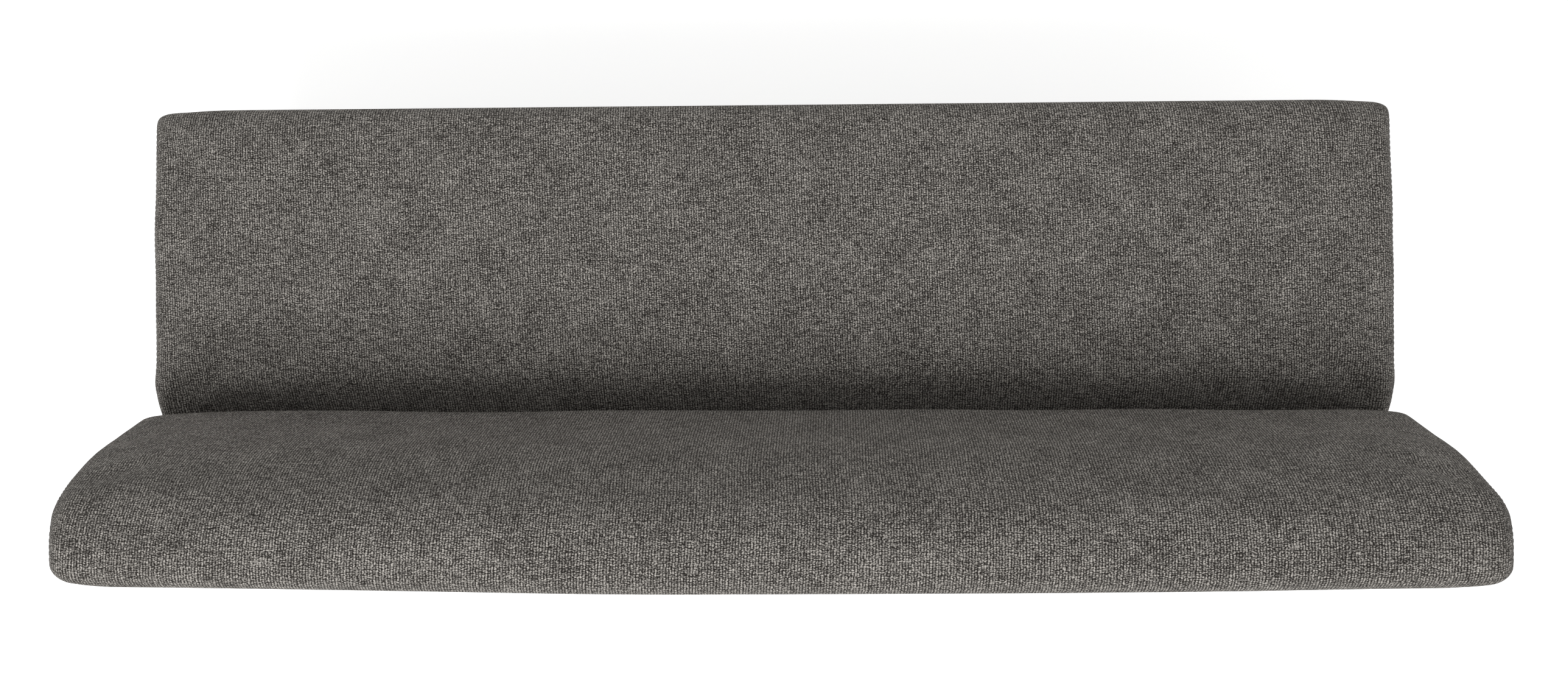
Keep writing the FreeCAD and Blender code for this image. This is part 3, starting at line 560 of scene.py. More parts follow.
def rounded(
    corners: Sequence[Corner], inset: float, steps: int = 10, least_radius: float = 2 * MM
) -> list[list[Point]]:
    """Round a section's corners, after its sides have moved inwards.

    Args:
        corners: corners in order, clockwise seen along +X, so that inwards lies to the right of each side.
        inset: how far a side with a draw of 1 moves inwards.
        steps: spans of each rounded corner.
        least_radius: radius that a corner keeps.

    Returns:
        One list of points for each corner.
    """
    lines = []
    for here, after in zip(corners, [*corners[1:], corners[0]]):
        length = math.hypot(after.y - here.y, after.z - here.z)
        along = ((after.y - here.y) / length, (after.z - here.z) / length)
        moved = inset * here.draw
        lines.append(((here.y + along[1] * moved, here.z - along[0] * moved), along))
    bends = []
    for index, corner in enumerate(corners):
        (before_at, before), (after_at, after) = lines[index - 1], lines[index]
        tip = meeting(before_at, before, after_at, after)
        turn = before[0] * after[1] - before[1] * after[0]
        angle = math.asin(max(-1.0, min(1.0, turn)))
        if before[0] * after[0] + before[1] * after[1] < 0:
            angle = math.copysign(math.pi - abs(angle), angle)
        shrink = inset * (corners[index - 1].draw + corner.draw) / 2
        radius = max(corner.radius - shrink if angle < 0 else corner.radius + shrink, least_radius)
        reach = radius * math.tan(abs(angle) / 2)
        first = (tip[0] - before[0] * reach, tip[1] - before[1] * reach)
        side = math.copysign(1.0, angle)
        centre = (first[0] - before[1] * radius * side, first[1] + before[0] * radius * side)
        spoke = (first[0] - centre[0], first[1] - centre[1])
        points = []
        for step in range(steps + 1):
            sweep = angle * step / steps
            cosine, sine = math.cos(sweep), math.sin(sweep)
            points.append((
                centre[0] + spoke[0] * cosine - spoke[1] * sine,
                centre[1] + spoke[0] * sine + spoke[1] * cosine,
            ))
        bends.append(points)
    return bends


def resampled(points: Sequence[Point], spans: int) -> list[Point]:
    """Divide a line of points into equal spans.

    Args:
        points: the line.
        spans: how many spans it gets.

    Returns:
        Points at the spans' ends.
    """
    line = np.array(points)
    reach = np.concatenate([[0.0], np.cumsum(np.hypot(*np.diff(line, axis=0).T))])
    places = np.linspace(0.0, reach[-1], spans + 1)
    return list(zip(np.interp(places, reach, line[:, 0]), np.interp(places, reach, line[:, 1])))


def smooth_step(low: float, high: float, value: float) -> float:
    """Rise from 0 at low to 1 at high, level at both ends."""
    share = min(1.0, max(0.0, (value - low) / (high - low)))
    return share * share * (3 - 2 * share)


def install(made: bpy.types.Object, finish: Finish, slot: Slot, *nodes: str) -> None:
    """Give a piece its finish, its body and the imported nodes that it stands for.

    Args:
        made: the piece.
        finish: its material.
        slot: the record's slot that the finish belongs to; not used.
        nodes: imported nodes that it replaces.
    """
    made.data.materials.append(finish.material)
    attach(made, BODY)
    if nodes:
        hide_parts(*nodes)
    log.info("%s: %s, %d vertices", made.name, finish.name, len(made.data.vertices))


def spaced(path: Sequence[Vector], gap: float) -> list[tuple[Vector, Vector]]:
    """Set out places at even gaps along a line.

    Args:
        path: points of the line.
        gap: distance from one place to the next.

    Returns:
        Each place, with the line's direction there.
    """
    found = []
    due = gap / 2
    for start, end in zip(path, path[1:]):
        length = (end - start).length
        while due < length:
            found.append((start.lerp(end, due / length), (end - start) / length))
            due += gap
        due -= length
    return found


def grid_face(i: int, j: int, row: int) -> Face:
    """Number the corners of one cell of a grid, which has so many vertices in a row."""
    return (i * row + j, (i + 1) * row + j, (i + 1) * row + j + 1, i * row + j + 1)


def tube_faces(first: int, rings: int, around: int) -> list[Face]:
    """Join rings of vertices to a tube with closed ends.

    Args:
        first: number of the first ring's first vertex.
        rings: how many rings there are.
        around: vertices of one ring.

    Returns:
        The faces.
    """
    faces: list[Face] = []
    for low in range(first, first + (rings - 1) * around, around):
        for step in range(around):
            after = (step + 1) % around
            faces.append((low + step, low + after, low + around + after, low + around + step))
    last = first + (rings - 1) * around
    return [*faces, tuple(range(first + around - 1, first - 1, -1)), tuple(range(last, last + around))]


def rods(
    name: str, places: Sequence[tuple[Vector, Vector]], length: float, radius: float, around: int = 6
) -> bpy.types.Object:
    """Make short round-ended rods, such as stitches or staples, as one mesh.

    Args:
        name: name of the mesh.
        places: middle and direction of each rod.
        length: of one rod.
        radius: of its thread or wire.
        around: sides of one rod.

    Returns:
        The new object.
    """
    end, neck = length / 2, length / 2 - radius
    profile = ((-end, radius / 2), (-neck, radius), (neck, radius), (end, radius / 2))
    vertices: list[Vector] = []
    faces: list[Face] = []
    for middle, along in places:
        side = along.orthogonal().normalized()
        other = along.cross(side)
        faces += tube_faces(len(vertices), len(profile), around)
        for reach, width in profile:
            for step in range(around):
                turn = 2 * math.pi * step / around
                spoke = side * math.cos(turn) + other * math.sin(turn)
                vertices.append(middle + along * reach + spoke * width)
    return add_mesh(name, vertices, faces)


@dataclass
class PaddedForm:
    """A closed padded form: a section carried along the bench, rounded over and closed at both ends.

    Its section has four sides in order: front, top, rear and bottom. Spans are those of front and rear, then
    those of top and bottom.
    """

    name: str
    corners: Sequence[Corner]
    starts: tuple[int, int, int, int]
    spans: tuple[int, int]
    half_length: float
    end_radius: float
    columns: int = 150
    end_steps: int = 5
    slack: float = 2 * MM
    swell: float = 5 * MM
    pressure: float = 3.0
    frames: int = 14
    quality: int = 4
    fill: float = 0.8
    slant: float = 0.0
    seam_depth: float = 2.5 * MM
    stitch_gap: float = 8 * MM
    stitch: float = 5 * MM

    def sides(self, inset: float) -> list[list[Point]]:
        """Cut the rounded section into its four sides.

        Args:
            inset: how far the section is drawn in.

        Returns:
            Points of front, top, rear and bottom, with their shared ends.
        """
        bends = rounded(self.corners, inset)
        count = len(bends)
        found = []
        for number, start in enumerate(self.starts):
            end = self.starts[(number + 1) % 4]
            line = list(bends[start][len(bends[start]) // 2:])
            index = start + 1
            while index % count != end:
                line += bends[index % count]
                index += 1
            line += bends[end][:len(bends[end]) // 2 + 1]
            found.append(resampled(line, self.spans[number % 2]))
        return found

    def stations(self) -> list[Triple]:
        """Set out the sections along the bench.

        Returns:
            X, inset and length of cloth from the middle for each section, from -X to +X.
        """
        radius = self.end_radius
        neck = self.half_length - radius
        inner = [neck * (2 * i / self.columns - 1) for i in range(self.columns + 1)]
        turns = [math.pi / 2 * (i + 1) / self.end_steps for i in range(self.end_steps)]
        right = [(neck + radius * math.sin(t), radius * (1 - math.cos(t)), neck + radius * t) for t in turns]
        left = [(-x, inset, -run) for x, inset, run in reversed(right)]
        return left + [(x, 0.0, x) for x in inner] + right

    def build(self) -> bpy.types.Object:
        """Make the mesh with its cloth coordinates and the group of vertices that stay put.

        Returns:
            The new object.
        """
        long, short = self.spans
        rim = 2 * (long + short)
        stations = self.stations()
        vertices: list[Triple] = []
        faces: list[Face] = []
        cloth: list[Point] = []
        held: set[int] = set()
        middle = [p for side in self.sides(self.slack) for p in side[:-1]]
        steps = [math.dist(a, b) for a, b in zip(middle, middle[1:] + middle[:1])]
        girth = np.concatenate([[0.0], np.cumsum(steps)])
        for x, inset, _ in stations:
            for side in self.sides(inset + self.slack):
                vertices += [(x, y, z) for y, z in side[:-1]]
        for row in range(len(stations) - 1):
            near, far = stations[row][2], stations[row + 1][2]
            for k in range(rim):
                after = (k + 1) % rim
                faces.append((row * rim + k, row * rim + after, (row + 1) * rim + after, (row + 1) * rim + k))
                for run, at in ((near, k), (near, k + 1), (far, k + 1), (far, k)):
                    cloth.append((run + self.slant * girth[at], girth[at]))
        for row in range(len(stations)):
            held.update(row * rim + long + short + long + k for k in range(short))
            held.add(row * rim)
        for row in (0, len(stations) - 1):
            self.close_end(vertices, faces, cloth, row * rim)
            held.update(range(row * rim, row * rim + rim))
        made = add_mesh(self.name, vertices, faces, cloth)
        made.vertex_groups.new(name="held").add(sorted(held), 1.0, "REPLACE")
        return made

    def close_end(self, vertices: list, faces: list, cloth: list, first: int) -> None:
        """Close one end with a grid between the four sides.

        Args:
            vertices: vertices so far, added to.
            faces: faces so far, added to.
            cloth: cloth coordinates of each face corner, added to.
            first: number of the end section's first vertex.
        """
        long, short = self.spans
        rim = 2 * (long + short)
        grid: dict[tuple[int, int], int] = {}
        for a in range(long + 1):
            grid[a, 0] = first + a
            grid[a, short] = first + (2 * long + short - a) % rim
        for b in range(short + 1):
            grid[long, b] = first + long + b
            grid[0, b] = first + (rim - b) % rim
        spot = {key: Vector(vertices[number]) for key, number in grid.items()}
        for a in range(1, long):
            for b in range(1, short):
                s, t = a / long, b / short
                place = spot[a, 0] * (1 - t) + spot[a, short] * t + spot[0, b] * (1 - s) + spot[long, b] * s
                place -= spot[0, 0] * (1 - s) * (1 - t) + spot[long, 0] * s * (1 - t)
                place -= spot[0, short] * (1 - s) * t + spot[long, short] * s * t
                grid[a, b] = len(vertices)
                vertices.append(tuple(place))
        for a in range(long):
            for b in range(short):
                face = (grid[a, b], grid[a + 1, b], grid[a + 1, b + 1], grid[a, b + 1])
                faces.append(face)
                cloth += [(vertices[number][1], vertices[number][2]) for number in face]

    def inflate(self, made: bpy.types.Object) -> None:
        """Let the cover swell under the foam's pressure between its seams and its turned-under edge.

        Args:
            made: the form, whose mesh takes the result.
        """
        scene = bpy.context.scene
        start = np.array([v.co for v in made.data.vertices])
        cloth = made.modifiers.new("swell", "CLOTH")
        cloth.settings.vertex_group_mass = "held"
        cloth.settings.use_pressure = True
        cloth.settings.uniform_pressure_force = self.pressure
        cloth.settings.effector_weights.gravity = 0.0
        cloth.settings.quality = self.quality
        cloth.collision_settings.use_collision = False
        cloth.point_cache.frame_end = self.frames
        for number in range(1, self.frames + 1):
            scene.frame_set(number)
        solved = made.evaluated_get(bpy.context.evaluated_depsgraph_get()).to_mesh()
        moved = np.array([v.co for v in solved.vertices]) - start
        made.modifiers.remove(cloth)
        scene.frame_set(1)
        reach = np.linalg.norm(moved, axis=1, keepdims=True)
        capped = moved * (np.tanh(reach / self.swell) * self.swell / np.maximum(reach, 1e-9))
        log.info("%s swells by %.1f mm at most", made.name, reach.max() / MM)
        made.data.vertices.foreach_set("co", (start + capped).astype(np.float32).ravel())
        made.data.update()

    def fit(self, made: bpy.types.Object) -> None:
        """Stretch the swollen form back to the box of its section's outer lines.

        Args:
            made: the form.
        """
        outline = [p for side in self.sides(0.0) for p in side]
        low = np.array([-self.half_length, min(p[0] for p in outline), min(p[1] for p in outline)])
        high = np.array([self.half_length, max(p[0] for p in outline), max(p[1] for p in outline)])
        places = np.array([v.co for v in made.data.vertices])
        now_low, now_high = places.min(0), places.max(0)
        fitted = low + (places - now_low) / (now_high - now_low) * (high - low)
        made.data.vertices.foreach_set("co", fitted.astype(np.float32).ravel())

    def settle(self, made: bpy.types.Object, shape: Callable[[Vector], Vector]) -> None:
        """Move each vertex by the unevenness of the upholstery, and pull the end seams in.

        Args:
            made: the form.
            shape: gives a vertex its new place.
        """
        for vertex in made.data.vertices:
            vertex.co = shape(vertex.co)
        for ring in self.end_rings():
            for number in ring:
                place = made.data.vertices[number].co
                place.x -= math.copysign(self.seam_depth, place.x)
        fine = made.modifiers.new("fine", "SUBSURF")
        fine.levels = 1
        fine.render_levels = 1

    def end_rings(self) -> list[range]:
        """Number the vertices of the two sections where the end panels are sewn in.

        Returns:
            Vertex numbers at -X and at +X.
        """
        rim = 2 * sum(self.spans)
        last = rim * (self.columns + 2 * self.end_steps)
        return [range(rim), range(last, last + rim)]

    def sew_ends(self, made: bpy.types.Object, thread: Finish) -> None:
        """Lay stitches along the seams of the end panels.

        Args:
            made: the finished form.
            thread: finish of the stitches.
        """
        rows = []
        smooth = made.evaluated_get(bpy.context.evaluated_depsgraph_get()).data
        for ring in self.end_rings():
            path = [smooth.vertices[number].co.copy() for number in ring]
            rows += spaced([*path, path[0]], self.stitch_gap)
        stitches = rods(f"{self.name}_stitching", rows, self.stitch, THREAD_RADIUS)
        install(stitches, thread, Slot.COVER)

    def upholster(
        self, shape: Callable[[Vector], Vector], finish: Finish, thread: Finish, *nodes: str
    ) -> bpy.types.Object:
        """Make, swell, shape, dress and sew the form.

        Args:
            shape: gives a vertex of the swollen form its new place.
            finish: the cover.
            thread: finish of the seams' stitches.
            nodes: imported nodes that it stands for.

        Returns:
            The finished form.
        """
        made = self.build()
        self.inflate(made)
        self.fit(made)
        self.settle(made, shape)
        install(made, finish, Slot.COVER, *nodes)
        self.sew_ends(made, thread)
        return made


@dataclass
class SeatCushion:
    """The seat: upright front, rolled front edge, crowned top that runs in under the back.

    Zones are pairs of places, or of distances from the front, between which something sets in.
    """

    half_length: float = 0.9
    end_radius: float = 26 * MM
    front: float = -0.326
    rear: float = 0.146
    bottom: float = 0.3606
    top: float = 0.481
    fall: float = 0.086
    rear_top: float = 0.442
    front_roll: float = 36 * MM
    fall_radius: float = 50 * MM
    rear_radius: float = 8 * MM
    front_hem: float = 7 * MM
    rear_hem: float = 5 * MM
    front_taper: float = 0.35
    spans: tuple[int, int] = (11, 40)
    pressed_top: float = 0.425
    crown: float = 9 * MM
    crown_zone: Point = (0.42, 0.47)
    front_draw: float = 8 * MM
    draw_reach: float = 0.12
    front_zone: Point = (0.0, 0.12)
    uneven: float = 1.1 * MM
    uneven_per_metre: Point = (3.1, 5.0)
    uneven_draw: float = 4.7
    edge_wave: float = 2.2 * MM
    edge_per_metre: float = 11.0
    edge_draw: Point = (3.0, 1.3)
    end_swell: float = 2.8 * MM
    swell_zone: Point = (0.03, 0.18)
    end_zone: Point = (0.80, 0.9)
    end_rise: float = 20 * MM
    rise_from_y: Point = (0.05, 0.12)
    rise_from_z: Point = (0.39, 0.43)
    rise_from_x: Point = (0.84, 0.89)
    dimple: float = 6 * MM
    dimple_at: Point = (0.851, 0.098)
    dimple_size: Point = (0.020, 0.014)
    form: PaddedForm = field(init=False)

    def __post_init__(self) -> None:
        """Set out the section from the front, clockwise seen along +X."""
        corners = (
            Corner(self.front, self.bottom, self.front_hem, draw=self.front_taper),
            Corner(self.front, self.top, self.front_roll),
            Corner(self.fall, self.top, self.fall_radius),
            Corner(self.rear, self.rear_top, self.rear_radius, draw=0.0),
            Corner(self.rear, self.bottom, self.rear_hem, draw=0.0),
        )
        starts = (0, 1, 3, 4)
        self.form = PaddedForm("seat_cushion", corners, starts, self.spans, self.half_length, self.end_radius)

    def shape(self, place: Vector) -> Vector:
        """Crown the top, draw the front in at its ends and leave the cover a little uneven.

        Args:
            place: a vertex of the swollen form.

        Returns:
            Its place on the finished seat.
        """
        outer = abs(place.x)
        depth = place.y - self.front
        high = smooth_step(*self.crown_zone, place.z)
        half = (self.rear - self.front) / 2
        across = (place.y - (self.front + self.rear) / 2) / half
        lift = self.crown * high * max(0.0, 1 - across * across)
        waves = (place.x * self.uneven_per_metre[0], place.y * self.uneven_per_metre[1], self.uneven_draw)
        lift += noise.noise(Vector(waves)) * self.uneven * high
        spot = ((place.x - self.dimple_at[0]) / self.dimple_size[0]) ** 2
        spot += ((place.y - self.dimple_at[1]) / self.dimple_size[1]) ** 2
        lift -= self.dimple * math.exp(-spot) * high
        behind = smooth_step(*self.rise_from_y, place.y) * smooth_step(*self.rise_from_z, place.z)
        lift += self.end_rise * behind * smooth_step(*self.rise_from_x, outer)
        side, draw = self.edge_draw
        waves = (place.y * self.edge_per_metre, math.copysign(side, place.x), draw)
        edge = noise.noise(Vector(waves)) * self.edge_wave
        edge += self.end_swell * smooth_step(*self.swell_zone, depth)
        outward = math.copysign(1.0, place.x) * edge * smooth_step(*self.end_zone, outer)
        near_end = max(0.0, (outer - self.half_length + self.draw_reach) / self.draw_reach)
        drawn = self.front_draw * near_end ** 2 * (1 - smooth_step(*self.front_zone, depth))
        if place.y > self.rear - PRESSED and place.z < self.pressed_top:
            drawn = self.rear - place.y
        return place + Vector((outward, drawn, lift))

    def build(self, finish: Finish, thread: Finish) -> None:
        """Make the seat of the cover, sewn with thread."""
        self.form.upholster(self.shape, finish, thread, "seat_cover", "seat_foam", "seat_felt")


@dataclass
class BackCushion:
    """The back: leaning front with a rounded heel over the seat, wide shoulder, rolled top and flat rear.

    Zones are pairs of places between which something sets in, and places in the section are y and z.
    """

    half_length: float = 0.9
    end_radius: float = 28 * MM
    front: float = 0.148
    bottom: float = 0.360
    undercut: float = 0.462
    heel: Point = (0.1205, 0.506)
    shoulder: Point = (0.1692, 0.7541)
    crest: Point = (0.2362, 0.8700)
    rear_top: Point = (0.3339, 0.8700)
    rear_foot: Point = (0.2255, 0.3600)
    front_hem: float = 4 * MM
    undercut_radius: float = 8 * MM
    heel_radius: float = 30 * MM
    shoulder_radius: float = 500 * MM
    crest_radius: float = 94.7 * MM
    rear_radius: float = 30 * MM
    rear_hem: float = 3 * MM
    spans: tuple[int, int] = (46, 13)
    pressed_top: float = 0.445
    rear_bow: float = 14 * MM
    bow_zone: Point = (0.74, 0.86)
    bow_rest: float = 0.55
    left_draw: float = 2 * MM
    left_zone: Point = (0.92, 1.0)
    aside: float = -4 * MM
    aside_zone: Point = (0.76, 0.84)
    uneven: float = 1.4 * MM
    uneven_per_metre: Point = (2.7, 4.0)
    uneven_draw: float = 9.1
    heel_wave: float = 4 * MM
    heel_per_metre: float = 4.2
    heel_draw: Point = (2.0, 0.4)
    heel_zone: Point = (0.50, 0.62)
    board_reach: float = 30 * MM
    board_top: Point = (0.786, 0.830)
    board_end: Point = (0.874, 0.898)
    slant: float = -0.07
    form: PaddedForm = field(init=False)

    def __post_init__(self) -> None:
        """Set out the section from the hidden lower front, clockwise seen along +X."""
        corners = (
            Corner(self.front, self.bottom, self.front_hem, draw=0.0),
            Corner(self.front, self.undercut, self.undercut_radius, draw=0.2),
            Corner(*self.heel, self.heel_radius, draw=0.25),
            Corner(*self.shoulder, self.shoulder_radius, draw=0.5),
            Corner(*self.crest, self.crest_radius),
            Corner(*self.rear_top, self.rear_radius, draw=0.9),
            Corner(*self.rear_foot, self.rear_hem, draw=0.0),
        )
        self.form = PaddedForm(
            "back_cushion", corners, (0, 4, 5, 6), self.spans, self.half_length, self.end_radius,
            slant=self.slant,
        )

    def shape(self, place: Vector) -> Vector:
        """Bow the rear top edge, and leave the front and heel a little wavy.

        Args:
            place: a vertex of the swollen form.

        Returns:
            Its place on the finished back.
        """
        if place.y < self.front + PRESSED and place.z < self.pressed_top:
            return Vector((place.x, self.front, place.z))
        along = place.x / self.half_length
        top = smooth_step(*self.bow_zone, place.z)
        bow = self.rear_bow * top * (self.bow_rest - along * along)
        bow -= self.left_draw * top * smooth_step(*self.left_zone, along)
        waves = (place.x * self.uneven_per_metre[0], place.z * self.uneven_per_metre[1], self.uneven_draw)
        ripple = noise.noise(Vector(waves)) * self.uneven
        wave = noise.noise(Vector((place.x * self.heel_per_metre, *self.heel_draw))) * self.heel_wave
        wave *= 1 - smooth_step(*self.heel_zone, place.z)
        aside = self.aside * smooth_step(*self.aside_zone, place.z)
        return Vector((place.x + aside, self.over_board(place, place.y + bow + ripple + wave), place.z))

    def over_board(self, place: Vector, y: float) -> float:
        """Keep the rear of the cover outside the board that it is pulled over.

        Args:
            place: where the swollen cover is.
            y: where it would go from front to rear.

        Returns:
            The y that it gets, which is free above the board and past its ends.
        """
        (top_y, top_z), (foot_y, foot_z) = self.rear_top, self.rear_foot
        line = foot_y + (place.z - foot_z) * (top_y - foot_y) / (top_z - foot_z)
        if place.y < line - self.board_reach:
            return y
        free = smooth_step(*self.board_top, place.z) + smooth_step(*self.board_end, abs(place.x))
        return max(y, line - self.board_reach * free)

    def build(self, finish: Finish, thread: Finish) -> bpy.types.Object:
        """Make the back of the cover, sewn with thread, and give it."""
        return self.form.upholster(self.shape, finish, thread, "back_cover", "back_foam", "back_felt")


@dataclass
class OutsideBack:
    """The outside back: a panel of the cover pulled flat over the rear, turned in and sewn blind."""

    half_width: float = 0.864
    foot: Point = (0.2259, 0.3620)
    top: Point = (0.3186, 0.7982)
    reach: float = 0.1
    proud: float = 3.0 * MM
    sunk: float = 1.5 * MM
    turn: float = 7 * MM
    turn_shares: tuple[float, ...] = (0.0, 0.2, 0.45, 0.75, 1.0)
    cell: float = 14 * MM
    seam_steps: int = 40
    stitch_gap: float = 11 * MM
    stitch: float = 6 * MM
    height: float = field(init=False)
    start: Vector = field(init=False)
    up: Vector = field(init=False)
    out: Vector = field(init=False)

    def __post_init__(self) -> None:
        """Work out the panel's height and directions from its foot and top."""
        self.start = Vector((0.0, *self.foot))
        self.up = Vector((0.0, *self.top)) - self.start
        self.height = self.up.length
        self.up.normalize()
        self.out = Vector((0.0, self.up.z, -self.up.y))

    def divide(self, span: float) -> list[float]:
        """Divide a span, with close lines where the edge is turned in at both ends.

        Args:
            span: width or height of the panel.

        Returns:
            Distances from one end.
        """
        close = [self.turn * share for share in self.turn_shares]
        inner = span - 2 * self.turn
        count = round(inner / self.cell)
        middle = [self.turn + inner * step / count for step in range(1, count)]
        return close + middle + [span - edge for edge in reversed(close)]

    def lay(self, skin: BVHTree, x: float, rise: float, lift: float = 0.0) -> Vector:
        """Find a place on the rear of the back.

        Args:
            skin: the back's surface.
            x: distance along the bench.
            rise: distance up from the panel's foot.
            lift: distance off the rear.

        Returns:
            The place.
        """
        spot = self.start + self.up * rise + Vector((x, 0.0, 0.0))
        found = skin.ray_cast(spot + self.out * self.reach, -self.out)[0]
        return (found or spot) + self.out * lift

    def seam(self, skin: BVHTree) -> list[Vector]:
        """Follow the panel's edge up one end, along the top and down the other end.

        Args:
            skin: the back's surface.

        Returns:
            Points of the seam.
        """
        rises = [self.height / self.seam_steps * step for step in range(self.seam_steps + 1)]
        along = [self.half_width * (step / self.seam_steps - 1) for step in range(2 * self.seam_steps + 1)]
        edge = [(-self.half_width, rise) for rise in rises]
        edge += [(x, self.height) for x in along]
        edge += [(self.half_width, rise) for rise in reversed(rises)]
        return [self.lay(skin, x, rise) for x, rise in edge]

    def build(self, back: bpy.types.Object, finish: Finish, thread: Finish) -> None:
        """Lay the panel on the rear of the back and sew it down.

        Args:
            back: the padded back.
            finish: the cover.
            thread: finish of its stitches.
        """
        skin = BVHTree.FromObject(back, bpy.context.evaluated_depsgraph_get())
        width = 2 * self.half_width
        across, rises = self.divide(width), self.divide(self.height)
        flat = [(x, rise) for x in across for rise in rises]
        vertices = []
        for x, rise in flat:
            edge = min(x, width - x, rise, self.height - rise)
            lift = (self.proud + self.sunk) * smooth_step(0.0, self.turn, edge) - self.sunk
            vertices.append(self.lay(skin, x - self.half_width, rise, lift))
        row = len(rises)
        faces = [grid_face(i, j, row) for i in range(len(across) - 1) for j in range(row - 1)]
        cloth = [flat[number] for face in faces for number in face]
        panel = add_mesh("outside_back", vertices, faces, cloth)
        install(panel, finish, Slot.COVER, "outside_back_panel")
        places = spaced(self.seam(skin), self.stitch_gap)
        stitches = rods("outside_back_stitching", places, self.stitch, THREAD_RADIUS)
        install(stitches, thread, Slot.COVER)


@dataclass
class Underside:
    """The dust cloth under the seat, cut out round the leg plates and stapled on, and the plates' screws.

    The rings of a screw head are shares of its radius and height. A share of 0 marks the rings of its cross,
    whose arms and waist have shares of their own.
    """

    plate: float = 80 * MM
    plate_thickness: float = 4 * MM
    plate_margin: float = 3 * MM
    cut_digits: int = 5
    cell: float = 22 * MM
    sag: float = 3 * MM
    ripple: float = 0.5 * MM
    ripple_per_metre: Point = (9.0, 14.0)
    ripple_draw: float = 6.2
    staple_inset: float = 7 * MM
    staple_gap: float = 46 * MM
    staple: float = 10 * MM
    wire: float = 0.5 * MM
    screw_reach: float = 28 * MM
    head_radius: float = 4.6 * MM
    head_height: float = 2.6 * MM
    head_sides: int = 24
    head_rings: tuple[Point, ...] = (
        (1.0, 0.0), (1.0, 0.3), (0.86, 0.72), (0.55, 0.95), (0.0, 1.0), (0.0, 0.45)
    )
    cross_reach: float = 0.40
    cross_waist: float = 0.14

    def plates(self) -> list[Vector]:
        """Find the middle of each leg plate's lower face from the legs' inner corners.

        Returns:
            One place for each leg.
        """
        found = []
        for side in ("left", "right"):
            for end in ("front", "rear"):
                low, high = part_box(f"{side}_{end}_leg")
                inner_x = low[0] if side == "left" else high[0]
                inner_y = high[1] if end == "front" else low[1]
                outward = (1 if side == "left" else -1, -1 if end == "front" else 1)
                found.append(Vector((
                    inner_x + outward[0] * self.plate / 2, inner_y + outward[1] * self.plate / 2,
                    high[2] - self.plate_thickness,
                )))
        return found

    def divide(self, low: float, high: float, cuts: Sequence[float]) -> list[float]:
        """Divide one side of the cloth evenly, with lines at the edges of the cut-outs.

        Args:
            low: one end.
            high: the other end.
            cuts: places of those edges.

        Returns:
            Places of all lines, in order.
        """
        count = round((high - low) / self.cell)
        even = [low + (high - low) * step / count for step in range(count + 1)]
        free = [mark for mark in even if all(abs(mark - cut) > self.cell / 4 for cut in cuts)]
        return sorted(free + list(cuts))

    def hang(self, low: Sequence[float], high: Sequence[float], x: float, y: float) -> Vector:
        """Let the cloth sag a little between its staples.

        Args:
            low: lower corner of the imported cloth.
            high: its upper corner.
            x: distance along the bench.
            y: distance from front to rear.

        Returns:
            The cloth's place there.
        """
        across = math.sin(math.pi * (x - low[0]) / (high[0] - low[0])) ** 0.5 if low[0] < x < high[0] else 0.0
        deep = math.sin(math.pi * (y - low[1]) / (high[1] - low[1])) if low[1] < y < high[1] else 0.0
        waves = (x * self.ripple_per_metre[0], y * self.ripple_per_metre[1], self.ripple_draw)
        wave = noise.noise(Vector(waves)) * self.ripple
        return Vector((x, y, low[2] - (self.sag + wave) * across * deep))

    def build(self, cloth: Finish, steel: Finish) -> None:
        """Make the cloth, its staples and the screws.

        Args:
            cloth: finish of the dust cloth.
            steel: finish of staples and screws.
        """
        low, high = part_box("dust_cover")
        plates = self.plates()
        half = self.plate / 2 + self.plate_margin
        marks = []
        for axis in (0, 1):
            edges = [plate[axis] + side * half for plate in plates for side in (-1, 1)]
            cuts = sorted({round(edge, self.cut_digits) for edge in edges})
            marks.append(self.divide(low[axis], high[axis], cuts))
        xs, ys = marks
        vertices = [self.hang(low, high, x, y) for x in xs for y in ys]
        faces = []
        for i in range(len(xs) - 1):
            for j in range(len(ys) - 1):
                x, y = (xs[i] + xs[i + 1]) / 2, (ys[j] + ys[j + 1]) / 2
                if all(max(abs(x - plate.x), abs(y - plate.y)) > half for plate in plates):
                    faces.append(grid_face(i, j, len(ys)))
        sheet = add_mesh("dust_cloth", vertices, faces)
        self.clear_loose(sheet)
        install(sheet, cloth, Slot.DUST_CLOTH, "dust_cover")
        inset = self.staple_inset
        left, right, front, rear = low[0] + inset, high[0] - inset, low[1] + inset, high[1] - inset
        ring = ((left, front), (right, front), (right, rear), (left, rear), (left, front))
        path = [self.hang(low, high, x, y) for x, y in ring]
        staples = rods("dust_cloth_staples", spaced(path, self.staple_gap), self.staple, self.wire)
        install(staples, steel, Slot.SCREW)
        self.screw_plates(plates, steel)

    def clear_loose(self, sheet: bpy.types.Object) -> None:
        """Take out the vertices inside the cut-outs, which carry no face.

        Args:
            sheet: the dust cloth.
        """
        work = bmesh.new()
        work.from_mesh(sheet.data)
        bmesh.ops.delete(work, geom=[v for v in work.verts if not v.link_faces], context="VERTS")
        work.to_mesh(sheet.data)
        work.free()

